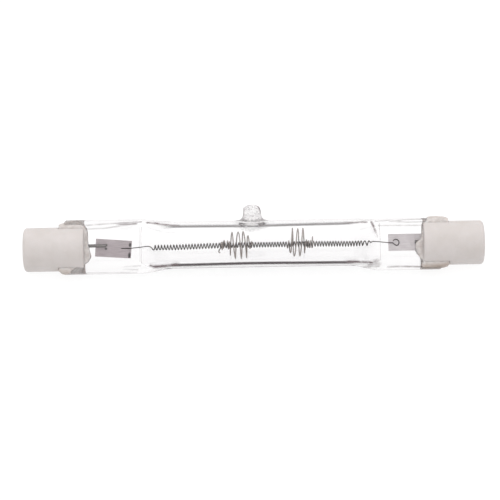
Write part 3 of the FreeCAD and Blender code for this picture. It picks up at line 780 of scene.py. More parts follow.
def bubble_tree() -> GeometryTree:
    """A tree that makes small round hollows at seeded places.

    Returns:
        The tree. The hollows' faces look into them, as a hollow's do.
    """
    tree = GeometryTree("bubbles")
    count = tree.size("Count", "Int", 20)
    middle = tree.size("Middle", "Vector", None)
    spread = tree.size("Spread", "Vector", None)
    smallest = tree.size("Smallest", "Float", 0.00005)
    largest = tree.size("Largest", "Float", 0.0002)
    seed = tree.size("Seed", "Int", 1)
    finish = tree.size("Finish", "Material", None)
    random = tree.add("FunctionNodeRandomValue", {"data_type": "FLOAT_VECTOR"}, Seed=seed)
    random.inputs[0].default_value = (-1, -1, -1)
    random.inputs[1].default_value = (1, 1, 1)
    spot = tree.add("ShaderNodeVectorMath", {"operation": "MULTIPLY_ADD"})
    for socket, source in zip(spot.inputs, (random.outputs[0], spread, middle)):
        tree.feed(socket, source)
    points = tree.add("GeometryNodePoints", Count=count, Position=spot.outputs[0]).outputs[0]
    girth = tree.add("FunctionNodeRandomValue", {"data_type": "FLOAT"}, Seed=tree.math("ADD", seed, 7))
    tree.feed(girth.inputs[2], smallest)
    tree.feed(girth.inputs[3], largest)
    ball = tree.add("GeometryNodeMeshIcoSphere", Radius=1.0, Subdivisions=3).outputs[0]
    hollow = tree.add("GeometryNodeFlipFaces", Mesh=ball).outputs[0]
    placed = tree.add("GeometryNodeInstanceOnPoints", Points=points, Instance=hollow, Scale=girth.outputs[1])
    tree.finish(placed.outputs[0], finish)
    return tree


PINCH_CREASE_SHADE = (
    ((-28.1, 3.9), (-24.3, 4.12), 0.13, 0.5),
    ((-24.3, 4.12), (-19.1, 4.33), 0.12, 0.7),
    ((-22.7, 3.93), (-19.9, 4.02), 0.13, 0.95),
    ((-28.9, 3.24), (-25.2, 3.34), 0.11, 0.4),
    ((-25.2, 3.34), (-21.4, 3.86), 0.12, 0.5),
    ((-19.45, 3.4), (-19.35, -2.4), 0.1, 0.16),
    ((-21.6, -3.3), (-19.3, -3.2), 0.13, 0.3),
    ((-22.0, -3.75), (-19.8, -3.85), 0.13, 0.25),
    ((-29.0, -4.2), (-20.0, -4.25), 0.1, 0.25),
    ((21.3, 2.98), (28.6, 2.9), 0.13, 0.42),
    ((20.7, 3.72), (23.9, 3.92), 0.13, 0.4),
    ((23.1, 3.68), (25.6, 3.92), 0.12, 0.45),
    ((25.6, 3.92), (29.0, 3.98), 0.12, 0.45),
    ((23.1, 3.68), (26.5, 3.47), 0.12, 0.45),
    ((26.5, 3.47), (29.0, 3.52), 0.12, 0.4),
    ((22.7, -4.1), (24.6, -4.05), 0.13, 0.6),
    ((24.6, -4.05), (28.4, -4.15), 0.13, 0.72),
    ((20.1, 3.6), (20.45, 2.8), 0.2, 1.1),
    ((20.3, 3.1), (20.8, 1.8), 0.18, 0.8),
    ((20.8, 1.8), (21.1, 1.0), 0.12, 0.4),
    ((18.7, -4.0), (21.2, -3.95), 0.16, 0.5),
    ((19.5, -3.7), (21.2, -3.55), 0.34, 0.55),
    ((20.4, -3.25), (21.1, -3.0), 0.32, 0.55),
    ((0.9, 6.75), (1.5, 5.5), 0.16, 0.9),
    ((-1.55, 6.3), (-1.7, 5.3), 0.12, 0.35),
)
# Painted shade lines along the folds from the pinching and on the tip: start, end, width and strength of
# each, read off the photograph in millimetres from the caps' axis.
"""Creases from the pinching and on the tip: start, end, width and strength of each, read off the
photograph in millimetres from the caps' axis."""

PAINTED_SHOULDER_EDGES = (
    ((-18.1, 4.15), (-16.8, 4.05), 0.15, 1.0),
    ((-16.8, 4.05), (-15.0, 3.66), 0.16, 1.1),
    ((-15.0, 3.66), (-13.2, 3.48), 0.15, 1.0),
    ((-17.6, -3.22), (-17.0, -3.46), 0.17, 1.25),
    ((-17.0, -3.46), (-15.2, -3.34), 0.2, 1.3),
    ((-15.2, -3.34), (-13.2, -3.12), 0.18, 1.3),
    ((15.9, 3.42), (19.3, 3.54), 0.15, 0.85),
    ((16.0, -3.14), (18.0, -3.24), 0.18, 1.25),
    ((18.0, -3.24), (20.1, -3.38), 0.17, 1.15),
)
# Painted shade on the outer skin, standing in for the bore's edge at the shoulders, where no fold is known to
# be. The shoulder bends the bore's own edge out of the shape that the photograph shows. These lines lie right
# from the camera's side only.
"""Stand-ins on the outer skin for the bore's edge at the shoulders, where no crease is known to be. The
shoulder bends the bore's own edge out of the shape that the photograph shows. These lines lie right
from the camera's side only."""


@dataclass(frozen=True)
class PaintedShadeLine:
    """A line of painted shade on the glass's outer skin, in millimetres from the caps' axis."""

    start: Point
    end: Point
    width: float
    strength: float

    def strength_at(self, x: np.ndarray, y: np.ndarray) -> np.ndarray:
        """How strongly the line shows at places along and across the lamp."""
        run = np.array(self.end) - self.start
        share = np.clip(((x - self.start[0]) * run[0] + (y - self.start[1]) * run[1]) / (run @ run), 0, 1)
        away = np.hypot(x - self.start[0] - share * run[0], y - self.start[1] - share * run[1])
        return self.strength * np.exp(-((away / self.width) ** 2))


@dataclass(frozen=True)
class PinchSizes:
    """One flat end of the glass, in millimetres."""

    shoulder_start: float
    start: float
    end: float
    width: float
    shift: float
    space_end: float
    flare_width: float
    flare_length: float
    closing_width: float
    flare_lead: float
    flare_shift: float
    rim_end: float


LEFT_PINCH = PinchSizes(
    shoulder_start=13.2,
    start=19.6,
    end=33.1,
    width=9.3,
    shift=0.3,
    space_end=19.1,
    flare_width=7.0,
    flare_length=1.1,
    closing_width=6.2,
    flare_lead=-0.6,
    flare_shift=0.14,
    rim_end=13.6,
)
RIGHT_PINCH = PinchSizes(
    shoulder_start=16.1,
    start=21.6,
    end=32.9,
    width=8.8,
    shift=-0.1,
    space_end=21.5,
    flare_width=6.75,
    flare_length=1.1,
    closing_width=6.2,
    flare_lead=2.0,
    flare_shift=-0.04,
    rim_end=15.8,
)


@dataclass
class QuartzEnvelope:
    """The glass: a tube with its exhaust tip, pressed flat at both ends round the sealed space."""

    finish: QuartzFinish = field(default_factory=QuartzFinish)
    radius: float = 4.0
    bore_radius: float = 3.08
    bore_swell: float = 0.12
    bore_shift: float = -0.08
    shift: float = 0.4
    half_thickness: float = 1.55
    half_web: float = 1.05
    rail_round: float = 1.2
    rail_flat: float = 0.1
    slope: float = 1.3
    web_margin: float = 1.2
    corner: float = 1.15
    half_gap: float = 0.25
    tip_place: float = -0.2
    tip_reach: float = 3.0
    quarter: tuple[int, ...] = (6, 15, 2, 22, 12)
    bore_around: int = 96
    bubbles: int = 26
    web_lead: float = 1.2
    web_rise: float = 3.4
    web_fall: float = 0.9
    web_span: float = 3.2
    corner_span: float = 1.4
    ring_counts: tuple[int, ...] = (10, 14, 10, 44, 12, 58, 14, 40, 10, 14, 10)
    bore_counts: tuple[int, int, int] = (34, 40, 34)
    swell_length: float = 9.0
    closing_power: float = 2.6
    flare_power: float = 1.8
    narrowing_power: float = 2.4
    coarse_lump: float = 0.12
    fine_lump: float = 0.03
    lump_scales: Point = (1.15, 3.0)
    lump_rise: float = 1.6
    lump_lift: float = 1.3
    crown_rise: float = 1.4
    lower_share: float = 0.12
    left: PinchSizes = LEFT_PINCH
    right: PinchSizes = RIGHT_PINCH

    TIP_PROFILE = (
        (0.0, 2.66), (0.55, 2.64), (1.05, 2.5), (1.38, 2.2), (1.52, 1.75), (1.56, 1.35), (1.61, 0.95),
        (1.75, 0.52), (2.05, 0.22), (2.45, 0.07), (3.0, 0.0),
    )

    def sizes(self, side: Side) -> PinchSizes:
        """The sizes of one end."""
        return self.left if side is Side.LEFT else self.right

    def quarter_section(self, half_width: float, web: float) -> tuple[np.ndarray, np.ndarray]:
        """A quarter of the pinch's section, from the middle of its web to the middle of its side.

        Args:
            half_width: Half the width there.
            web: How deep the web is pressed there, from nought to one.

        Returns:
            The quarter's points across and up, and each one's angle on a round section.
        """
        flat, slope, top, arc, side = self.quarter
        rail = half_width - self.rail_round
        web_edge = rail - self.rail_flat - self.slope
        depth = (self.half_thickness - self.half_web) * web
        low = self.half_thickness - self.rail_round
        thick = self.half_thickness
        rows = [(web_edge * i / flat, thick - depth, thick) for i in range(flat)]
        for i in range(slope):
            share = i / slope
            rows.append((web_edge + self.slope * share, thick - depth * (1 - eased(share)), thick))
        rows += [(mixed(web_edge + self.slope, rail, i / top), thick, thick) for i in range(top)]
        for i in range(arc):
            turn = i / arc * math.pi / 2
            up = low + self.rail_round * math.cos(turn)
            rows.append((rail + self.rail_round * math.sin(turn), up, up))
        rows += [(half_width, low * (1 - i / side), low * (1 - i / side)) for i in range(side + 1)]
        across, up, flat_up = np.array(rows).T
        return np.column_stack([across, up]), np.arctan2(across / half_width, flat_up / thick)

    def whole(self, quarter: np.ndarray) -> np.ndarray:
        """A closed section from its quarter, anticlockwise from the top, seen from +X."""
        lower = quarter[::-1][1:] * (1, -1)
        left = quarter[1:] * (-1, -1)
        upper = quarter[::-1][1:-1] * (-1, 1)
        return np.vstack([quarter, lower, left, upper])

    def outer_section(self, x: float) -> np.ndarray:
        """The glass's outline at a place along the lamp.

        Args:
            x: The place, in millimetres from the middle.

        Returns:
            One row for each point: across from the caps' axis, and up from it.
        """
        end = self.sizes(Side.LEFT if x < 0 else Side.RIGHT)
        along = abs(x)
        pressed = eased((along - end.shoulder_start) / (end.start - end.shoulder_start))
        cut = max(0.0, along - (end.end - self.corner))
        half_width = end.width / 2 - cut
        risen = eased((along - end.start + self.web_lead) / self.web_rise)
        fallen = eased((along - (end.end - self.web_margin - self.web_fall)) / self.web_fall)
        quarter, angles = self.quarter_section(half_width, risen * (1 - fallen))
        round_quarter = self.radius * np.column_stack([np.sin(angles), np.cos(angles)])
        section = self.whole(round_quarter * (1 - pressed) + quarter * pressed)
        section[:, 0] += mixed(self.shift, end.shift, pressed)
        return section

    def inner_section(self, x: float) -> np.ndarray:
        """The sealed space's outline at a place along the lamp, as outer_section gives it."""
        end = self.sizes(Side.LEFT if x < 0 else Side.RIGHT)
        along = abs(x)
        share = max(0.0, (along - end.shoulder_start) / (end.space_end - end.shoulder_start))
        pressed = eased((along - end.shoulder_start) / (end.start - end.shoulder_start))
        under_tip = math.exp(-(((x - self.tip_place) / self.swell_length) ** 2))
        bore = self.bore_radius + self.bore_swell * (1 - under_tip)
        room = mixed(self.radius, self.half_thickness, pressed) - (self.radius - bore)
        half_height = max(room * math.sqrt(max(1 - share**self.closing_power, 0.0)), self.half_gap)
        flare_place = end.space_end - end.flare_length
        flare_start = end.shoulder_start - end.flare_lead
        widening = min(max(along - flare_start, 0) / (flare_place - flare_start), 1) ** self.flare_power
        half_width = mixed(bore, end.flare_width / 2, widening)
        if along > flare_place:
            closing = (along - flare_place) / end.flare_length
            half_width = mixed(half_width, end.closing_width / 2, closing**self.narrowing_power)
        turns = np.linspace(0, 2 * math.pi, self.bore_around, endpoint=False)
        across = half_width * np.sin(turns) + self.shift + self.bore_shift + end.flare_shift * widening
        return np.column_stack([across, half_height * np.cos(turns)])

    def stations(self) -> list[float]:
        """Places of the outer rings, close where the form changes."""
        left, right, tip = self.left, self.right, self.tip_place
        knots = [
            -left.end,
            -left.end + self.corner_span,
            -left.end + self.web_span,
            -left.start - self.web_lead,
            -left.shoulder_start,
            tip - self.tip_reach,
            tip + self.tip_reach,
            right.shoulder_start,
            right.start + self.web_lead,
            right.end - self.web_span,
            right.end - self.corner_span,
            right.end,
        ]
        spans = zip(knots, knots[1:], self.ring_counts)
        places = [start + (end - start) * i / count for start, end, count in spans for i in range(count)]
        return [*places, right.end]

    def with_tip(self, rings: np.ndarray) -> np.ndarray:
        """Draws the exhaust tip out of the tube's skin.

        Args:
            rings: The skin's points by ring, from the caps' axis.

        Returns:
            The same points, with those near the tip moved onto its form.
        """
        profile = flowing(self.TIP_PROFILE, 80)
        last = len(profile) - 1
        for point in rings.reshape(-1, 3):
            along, across, up = point[0] - self.tip_place, point[1] - self.shift, point[2]
            if across <= 0 or abs(along) > self.tip_reach:
                continue
            aside = self.radius * math.atan2(up, across)
            reach = max(math.hypot(along, aside), 1e-9)
            if reach >= self.tip_reach:
                continue
            share = reach / self.tip_reach * last
            first = min(int(share), last - 1)
            out, rise = profile[first] + (profile[first + 1] - profile[first]) * (share - first)
            coarse = noise.noise(Vector((along, aside, 3.0)) * self.lump_scales[0])
            fine = noise.noise(Vector((along, aside, 9.0)) * self.lump_scales[1])
            lump = (self.coarse_lump * coarse + self.fine_lump * fine) * min(rise / self.lump_rise, 1.0)
            out *= 1 + lump
            rise += lump * self.lump_lift
            turn = out * aside / reach / self.radius
            crown = self.radius * (1 - math.cos(turn)) * eased(rise / self.crown_rise)
            point[0] = self.tip_place + out * along / reach
            point[1] = self.shift + self.radius * math.cos(turn) + rise + crown
            point[2] = self.radius * math.sin(turn)
        return rings

    def painted_bore_shading(self, inner: np.ndarray) -> np.ndarray:
        """How strongly the painted shade on the bore's edge shows: weaker on the tip's side, most of all
        under it, and at the seals.
        """
        x, across = inner[..., 0], inner[..., 1] - self.shift
        upper = np.clip(across / self.bore_radius, 0, 1)
        tip_length, fade_length, upper_loss, tip_loss, pressed_loss = 1.9, 1.4, 0.42, 0.56, 0.95
        under_tip = np.exp(-(((x - self.tip_place) / tip_length) ** 4))
        pressed = np.clip(np.maximum(-self.left.rim_end - x, x - self.right.rim_end) / fade_length, 0, 1)
        return ((1 - upper * (upper_loss + tip_loss * under_tip)) * (1 - pressed_loss * pressed)).reshape(-1)

    def painted_outer_shading(self, outer: np.ndarray) -> np.ndarray:
        """How strongly the painted shade on the glass's outer edge shows: most on the tip."""
        x, across, up = outer[..., 0], outer[..., 1] - self.shift, outer[..., 2]
        foot, ramp, tube_share, tip_share = 0.5, 0.8, 0.22, 0.3
        rise = np.clip((np.hypot(across, up) - self.radius - foot) / ramp, 0, 1)
        return (tube_share + tip_share * (rise * (np.abs(x - self.tip_place) < self.tip_reach))).reshape(-1)

    def milkiness(self, outer: np.ndarray) -> np.ndarray:
        """How milky the outer skin is: in the exhaust tip and round its foot."""
        along, across, up = outer[..., 0] - self.tip_place, outer[..., 1] - self.shift, outer[..., 2]
        rise = np.hypot(across, up) - self.radius
        aside = self.radius * np.arctan2(up, across)
        reach, foot_share, crown_loss, crown_rise = 2.7, 0.66, 0.38, 1.2
        near = np.exp(-((np.hypot(along, aside) / reach) ** 6))
        return (near * (foot_share - crown_loss * np.clip(rise / crown_rise, 0, 1))).reshape(-1)

    def painted_crease_shading(self, outer: np.ndarray) -> np.ndarray:
        """How strongly painted shade lines show at each point of the outer skin, uneven and weaker
        underneath.
        """
        x, y, up = outer[..., 0], outer[..., 1], outer[..., 2]
        shown = np.zeros(x.shape)
        # Painted shade lines along the pinch folds and, at the shoulders, in place of the bore's edge.
        for row in (*PINCH_CREASE_SHADE, *PAINTED_SHOULDER_EDGES):
            shown = np.maximum(shown, PaintedShadeLine(*row).strength_at(x, y))
        ripple = np.array([noise.noise(Vector((a * 1.3, b * 2.0, 5.0))) for a, b in zip(x.flat, y.flat)])
        faintest, middle, spread, strongest = 0.5, 0.9, 0.6, 1.1
        shown *= np.clip(middle + spread * ripple.reshape(x.shape), faintest, strongest)
        return np.clip(shown * np.where(up > 0, 1.0, self.lower_share), 0, 1).reshape(-1)

    def build(self) -> Piece:
        """Makes the glass with its sealed space.

        Returns:
            The finished piece.
        """
        places = self.stations()
        outer = np.array([np.insert(self.outer_section(x), 0, x, axis=1) for x in places])
        outer = self.with_tip(outer)
        shoulders = (-self.left.shoulder_start, self.right.shoulder_start)
        knots = (-self.left.space_end, *shoulders, self.right.space_end)
        inner_places = np.concatenate([
            np.linspace(start, end, count, endpoint=end == knots[-1])
            for start, end, count in zip(knots, knots[1:], self.bore_counts)
        ])
        inner = np.array([np.insert(self.inner_section(x), 0, x, axis=1) for x in inner_places])
        points = np.vstack([outer.reshape(-1, 3), inner.reshape(-1, 3)])
        skin = len(places) * outer.shape[1]
        bore = len(points) - skin
        outer_faces = ring_faces(len(places), outer.shape[1])
        faces = outer_faces + ring_faces(len(inner_places), self.bore_around, skin)
        piece = mesh_piece("quartz_glass", points, faces, made(self.finish))
        # Strengths of the painted shade on the bore's edge, the outer edge and the folds are kept in the
        # mesh.
        keep(piece.data, "painted_bore_shade", np.append(np.zeros(skin), self.painted_bore_shading(inner)))
        for title, strengths in (
            ("painted_outer_shade", self.painted_outer_shading),
            ("milk", self.milkiness),
            ("painted_crease_shade", self.painted_crease_shading),
        ):
            keep(piece.data, title, np.append(strengths(outer), np.zeros(bore)))
        orient(piece, len(outer_faces))
        self.add_bubbles(piece)
        return dressed(piece, "quartz", "quartz_envelope")

    def add_bubbles(self, glass: Piece) -> None:
        """Joins the exhaust tip's bubbles to the glass, as hollows of it.

        Args:
            glass: The glass, still in the lamp's own frame.
        """
        height = 1.35
        middle = Vector((self.tip_place - 0.1, self.shift + self.radius + height, 0.1)) * MM
        spread = Vector((1.0, 0.85, 0.9)) * MM
        bubbles = bubble_tree().run(
            linked("tip_bubbles", bpy.data.meshes.new("tip_bubbles")),
            Count=self.bubbles,
            Middle=middle,
            Spread=spread,
            Smallest=0.07 * MM,
            Largest=0.2 * MM,
            Seed=11,
            Finish=made(self.finish),
        )
        with reworked(glass.data) as work:
            work.from_mesh(bubbles.data)
        bpy.data.objects.remove(bubbles)


def orient(piece: Piece, outer_faces: int) -> None:
    """Turns a glass piece's outer skin outward and its hollow's skin into the hollow.

    Args:
        piece: The piece, of two separate closed skins.
        outer_faces: How many of its first faces belong to the outer skin.
    """
    with reworked(piece.data) as work:
        work.faces.ensure_lookup_table()
        outer, inner = work.faces[:outer_faces], work.faces[outer_faces:]
        bmesh.ops.recalc_face_normals(work, faces=outer)
        bmesh.ops.recalc_face_normals(work, faces=inner)
        bmesh.ops.reverse_faces(work, faces=inner)


@dataclass
class Filament:
    """The coiled tungsten wire with its two legs."""

    finish: WireFinish = WireFinish("tungsten_coil", (0.085, 0.062, 0.06), roughness=0.45, winding=0.00006)
    wire_radius: float = 0.092
    coil_radius: float = 0.41
    left_end: float = -17.0
    right_end: float = 19.6
    left_support: float = -5.6
    right_support: float = 10.0
    supported_y: float = 0.3
    supported_z: float = -0.35
    left_y: float = -0.02
    right_y: float = 0.12
    turns: tuple[int, int, int] = (22, 33, 18)
    tail_turns: float = 1.5
    tail_length: float = 1.1
    level: float = 0.11
    leg_girth: float = 0.85
    step: float = 0.022
    unevenness: float = 0.05
    hook_middle: Point = (24.25, 0.16)
    hook_radius: float = 0.55
    hook_angles: Point = (-80.0, 150.0)

    LEFT_LEG = ((-22.6, -0.05), (-20.8, -0.05), (-19.1, 0.1), (-18.1, 0.24), (-17.65, 0.2), (-17.3, -0.02))
    RIGHT_LEG = ((20.15, 0.4), (20.7, 0.38), (21.5, 0.28), (22.4, 0.2), (23.3, 0.12), (23.7, 0.1))

    def build(self, tree: GeometryTree) -> Piece:
        """Winds the wire.

        Args:
            tree: The winding tree.

        Returns:
            The finished piece.
        """
        guide = GuideLine()
        for place in self.LEFT_LEG:
            guide.add((*place, self.level), 0.5, 0.0, self.leg_girth)
        guide.add((-17.15, -0.3, self.level * 0.6), 0.5, 0.0)
        stops = [
            (self.left_end, self.left_y, 0.0),
            (self.left_support, self.supported_y, self.supported_z),
            (self.right_support, self.supported_y, self.supported_z),
            (self.right_end - self.tail_length, self.right_y, 0.0),
            (self.right_end, self.right_y, 0.0),
        ]
        turn = 0.5
        guide.add(stops[0], turn, self.coil_radius)
        for stop, count in zip(stops[1:], (*self.turns, self.tail_turns)):
            turn += count
            guide.add(stop, turn, self.coil_radius)
        guide.add((19.85, 0.2, 0.05), turn)
        hook = []
        for i in range(9):
            angle = math.radians(mixed(*self.hook_angles, i / 8))
            along = self.hook_middle[0] + self.hook_radius * math.cos(angle)
            hook.append((along, self.hook_middle[1] + self.hook_radius * math.sin(angle)))
        for place in (*self.RIGHT_LEG, *hook):
            guide.add((*place, self.level), turn, 0.0, self.leg_girth)
        sizes = {"Wire_Sides": 8, "Step": self.step * MM, "Unevenness": self.unevenness * MM, "Seed": 4.0}
        piece = guide.wound(tree, "filament_coil", self.finish, self.wire_radius, **sizes)
        return dressed(piece, "tungsten", "filament")


@dataclass
class FilamentSupport:
    """A support: wound on the coil, out to the glass in wide loops, and back."""

    side: Side
    start: float
    wrap_turns: float
    loop_turns: float
    loop_radius: float
    loop_y: float
    loop_z: float
    seed: float
    unevenness: float = 0.3
    finish: WireFinish = WireFinish("support_wire", (0.33, 0.28, 0.255), roughness=0.36)
    wire_radius: float = 0.1
    wrap_radius: float = 0.62
    wrap_pitch: float = 0.36
    loop_pitch: float = 0.9
    stations: int = 8
    step: float = 0.02
    tail: float = 1.15
    tail_bend: float = 0.25
    tail_back: float = 0.05
    wander: float = 0.25
    shrink: float = 0.08
    coil_y: float = 0.3
    coil_z: float = -0.35

    def build(self, tree: GeometryTree) -> Piece:
        """Winds the support.

        Args:
            tree: The winding tree.

        Returns:
            The finished piece.
        """
        way = -self.side.value
        turn = self.side.value / 4
        place = self.start
        guide = GuideLine()
        stages = (
            (self.wrap_turns, lambda share: 0.0),
            (0.5, eased),
            (self.loop_turns, lambda share: 1.0),
            (0.5, lambda share: eased(1 - share)),
            (1.0, lambda share: 0.0),
        )
        tail_y = self.coil_y + self.side.value * self.tail
        bend_y = self.coil_y + self.side.value * self.tail_bend
        guide.add((place - way * self.tail_back, tail_y, self.coil_z), turn, self.wrap_radius)
        guide.add((place, bend_y, self.coil_z), turn, self.wrap_radius)
        for turns, opening in stages:
            count = round(turns * self.stations)
            for i in range(count):
                opened = opening((i + 1) / count)
                turn += turns / count
                place += way * turns / count * mixed(self.wrap_pitch, self.loop_pitch, opened)
                wander = noise.noise(Vector((turn * 1.7, self.seed, 0))) * opened
                middle_y = mixed(self.coil_y, self.loop_y, opened)
                middle_z = mixed(self.coil_z, self.loop_z, opened)
                loop_radius = self.loop_radius * (1 - self.shrink * abs(wander))
                radius = mixed(self.wrap_radius, loop_radius, opened)
                guide.add((place + self.wander * wander, middle_y, middle_z), turn, radius)
        sizes = {
            "Wire_Sides": 8, "Step": self.step * MM, "Unevenness": self.unevenness * MM, "Seed": self.seed
        }
        name = f"{self.side.word}_support_wire"
        piece = guide.wound(tree, name, self.finish, self.wire_radius, **sizes)
        return dressed(piece, "support_wire", f"{self.side.word}_filament_support")


SUPPORTS = (
    FilamentSupport(
        Side.LEFT, start=-5.75, wrap_turns=4.5, loop_turns=3.0, loop_radius=2.3,
        loop_y=0.25, loop_z=-0.35, seed=2.0, unevenness=1.1,
    ),
    FilamentSupport(
        Side.RIGHT, start=10.0, wrap_turns=3.0, loop_turns=2.5, loop_radius=2.45,
        loop_y=0.59, loop_z=-0.1, seed=7.0, unevenness=0.55,
    ),
)


@dataclass
class CeramicCap:
    """A turned ceramic end with its slot, contact recess and lead hole."""

    side: Side
    finish: CeramicFinish = field(default_factory=CeramicFinish)
    radius: float = 3.75
    slot_depth: float = 4.4
    slot_width: float = 3.5
    recess_radius: float = 1.8
    recess_floor: float = 8.1
    seat_radius: float = 1.6
    seat_depth: float = 0.5
    hole_radius: float = 0.7
    end_round: float = 0.6
    mouth_round: float = 0.3
    lip: float = 0.25
    lip_bevel: float = 0.07
    hole_lead: float = 0.6
    edge_bevel: float = 0.08
    around: int = 128

    def outline(self) -> np.ndarray:
        """The cap's half section, from the hole's inner end round the outside and back, along and out."""
        length = PLACES.end - PLACES.mouth
        hole_start = self.slot_depth - self.hole_lead
        points = [(hole_start, self.hole_radius), (0.0, self.hole_radius)]
        points += rounded_corner((0.0, self.radius), self.mouth_round, math.pi, 6)
        points += rounded_corner((length, self.radius), self.end_round, math.pi / 2, 9)
        points += [(length, self.recess_radius + self.lip)]
        points += [(length - self.lip * 0.3, self.recess_radius + self.lip_bevel)]
        seat_top = self.recess_floor + self.seat_depth
        points += [(length - self.lip, self.recess_radius), (seat_top, self.recess_radius)]
        points += [(seat_top, self.seat_radius), (self.recess_floor, self.seat_radius)]
        points += [(self.recess_floor, self.hole_radius)]
        return np.array(points)

    def build(self) -> Piece:
        """Makes the cap.

        Returns:
            The finished piece.
        """
        name = f"{self.side.word}_cap_ceramic"
        piece = turned_piece(name, self.outline(), self.around, self.side, PLACES.mouth, made(self.finish))
        half_slot = (self.slot_depth, self.radius * 1.5, self.slot_width / 2)
        cutter = box_piece(name + "_slot", half_slot)
        place_outward(cutter, self.side, PLACES.mouth)
        boolean = piece.modifiers.new("slot", "BOOLEAN")
        boolean.operation = "DIFFERENCE"
        boolean.solver = "EXACT"
        boolean.object = cutter
        modified(piece)
        bpy.data.objects.remove(cutter)
        bevel = piece.modifiers.new("edges", "BEVEL")
        bevel.width = self.edge_bevel * MM
        bevel.segments = 2
        bevel.limit_method = "ANGLE"
        bevel.angle_limit = math.radians(50)
        modified(piece)
        smooth_by_angle(piece, 35)
        return dressed(piece, "ceramic", f"{self.side.word}_ceramic_cap")


def rounded_corner(corner: Point, radius: float, start: float, steps: int) -> list[Point]:
    """An outer corner of a half section, rounded clockwise.

    Args:
        corner: The sharp corner, along and out.
        radius: Radius of the round.
        start: Angle of the round's first point, seen from its middle.
        steps: Straight runs in the round.

    Returns:
        The round's points.
    """
    middle_x = corner[0] + radius if start > 2 else corner[0] - radius
    middle = (middle_x, corner[1] - radius)
    turns = [start - math.pi / 2 * i / steps for i in range(steps + 1)]
    return [(middle[0] + radius * math.cos(turn), middle[1] + radius * math.sin(turn)) for turn in turns]


def turned_piece(
    name: str, outline: np.ndarray, around: int, side: Side, seat: float, material: Material
) -> Piece:
    """A piece turned about the caps' axis.

    Args:
        name: The piece's name.
        outline: Closed half section, along from the seat and out.
        around: Points round the piece.
        side: The end that it points to.
        seat: The seat's distance from the lamp's middle.
        material: Its finish.

    Returns:
        The piece.
    """
    count = len(outline)
    turns = np.linspace(0, 2 * math.pi, around, endpoint=False)
    sections = [[(x, r * math.cos(t), r * math.sin(t)) for x, r in outline] for t in turns]
    points = np.array(sections).reshape(-1, 3)
    faces = []
    for i in range(around):
        for j in range(count):
            a, b = i * count + j, i * count + (j + 1) % count
            k = (i + 1) % around
            c, d = k * count + (j + 1) % count, k * count + j
            faces.append((a, b, c, d))
    piece = mesh_piece(name, points, faces, material)
    place_outward(piece, side, seat)
    tidy(piece, 1e-7)
    return piece


def place_outward(piece: Piece, side: Side, seat: float) -> None:
    """Moves a mesh drawn from its seat towards X to its end of the lamp, on the caps' axis."""
    turn = Matrix.Rotation(math.pi if side is Side.LEFT else 0.0, 4, "Z")
    move = Matrix.Translation((side.value * seat * MM, 0, 0))
    piece.data.transform(move @ turn)


def box_piece(name: str, half: Sequence[float]) -> Piece:
    """A plain box round the origin, for cutting, from its half sizes in millimetres."""
    mesh = bpy.data.meshes.new(name)
    with reworked(mesh) as work:
        bmesh.ops.create_cube(work, size=2.0)
        for vertex in work.verts:
            vertex.co = [sign * size * MM for sign, size in zip(vertex.co, half)]
    return linked(name, mesh)


def smooth_by_angle(piece: Piece, degrees: float) -> None:
    """Shades a piece smooth, with its sharper edges kept.

    Args:
        piece: The piece.
        degrees: The angle past which an edge stays sharp.
    """
    with reworked(piece.data) as work:
        for face in work.faces:
            face.smooth = True
        for edge in work.edges:
            edge.smooth = len(edge.link_faces) == 2 and edge.calc_face_angle() < math.radians(degrees)


@dataclass
class Contact:
    """A metal disc at the recess's floor, with a shank round the lead."""

    side: Side
    finish: NickelFinish = field(default_factory=NickelFinish)
    radius: float = 1.55
    thickness: float = 0.5
    shank_radius: float = 0.65
    shank_bore: float = 0.315
    shank_length: float = 1.8
    rim: float = 0.15
    fillet: float = 0.05
    dimple_radii: Point = (0.9, 0.75)
    dimple_depth: float = 0.04
    closing: float = 0.001
    seat: float = 36.95

    def build(self) -> Piece:
        """Makes the contact.

        Returns:
            The finished piece.
        """
        outline = [(-self.shank_length, self.shank_bore), (-self.shank_length, self.shank_radius)]
        outline += [(-self.fillet, self.shank_radius), (0.0, self.shank_radius + self.fillet)]
        outline += [(0.0, self.radius)]
        outline += rounded_corner((self.thickness, self.radius), self.rim, math.pi / 2, 5)
        floor = self.thickness - self.dimple_depth
        outline += [(self.thickness, self.dimple_radii[0]), (floor, self.dimple_radii[1])]
        outline += [(floor, self.closing), (0.0, self.closing), (0.0, self.shank_bore)]
        name = f"{self.side.word}_contact_disc"
        piece = turned_piece(name, np.array(outline), 64, self.side, self.seat, made(self.finish))
        smooth_by_angle(piece, 35)
        return dressed(piece, "nickel", f"{self.side.word}_contact")


LEFT_LIP = (
    (-4.4, -2.4), (-3.95, -2.2), (-3.4, -1.3), (-2.9, 0.2), (-2.5, 0.7), (-1.2, 1.1),
    (0.2, 0.7), (1.5, 0.55), (3.4, 0.55), (4.0, 0.1), (4.5, -0.3),
)
RIGHT_LIP = (
    (-4.5, 0.6), (-3.9, 0.5), (-3.2, 0.4), (-2.4, 0.75), (-1.2, 1.3), (0.0, 1.2),
    (0.7, 0.35), (2.0, 0.15), (3.4, 0.1), (3.8, -0.6), (4.5, -0.9),
)
"""How far each cement reaches out of its cap, by place across the lamp."""


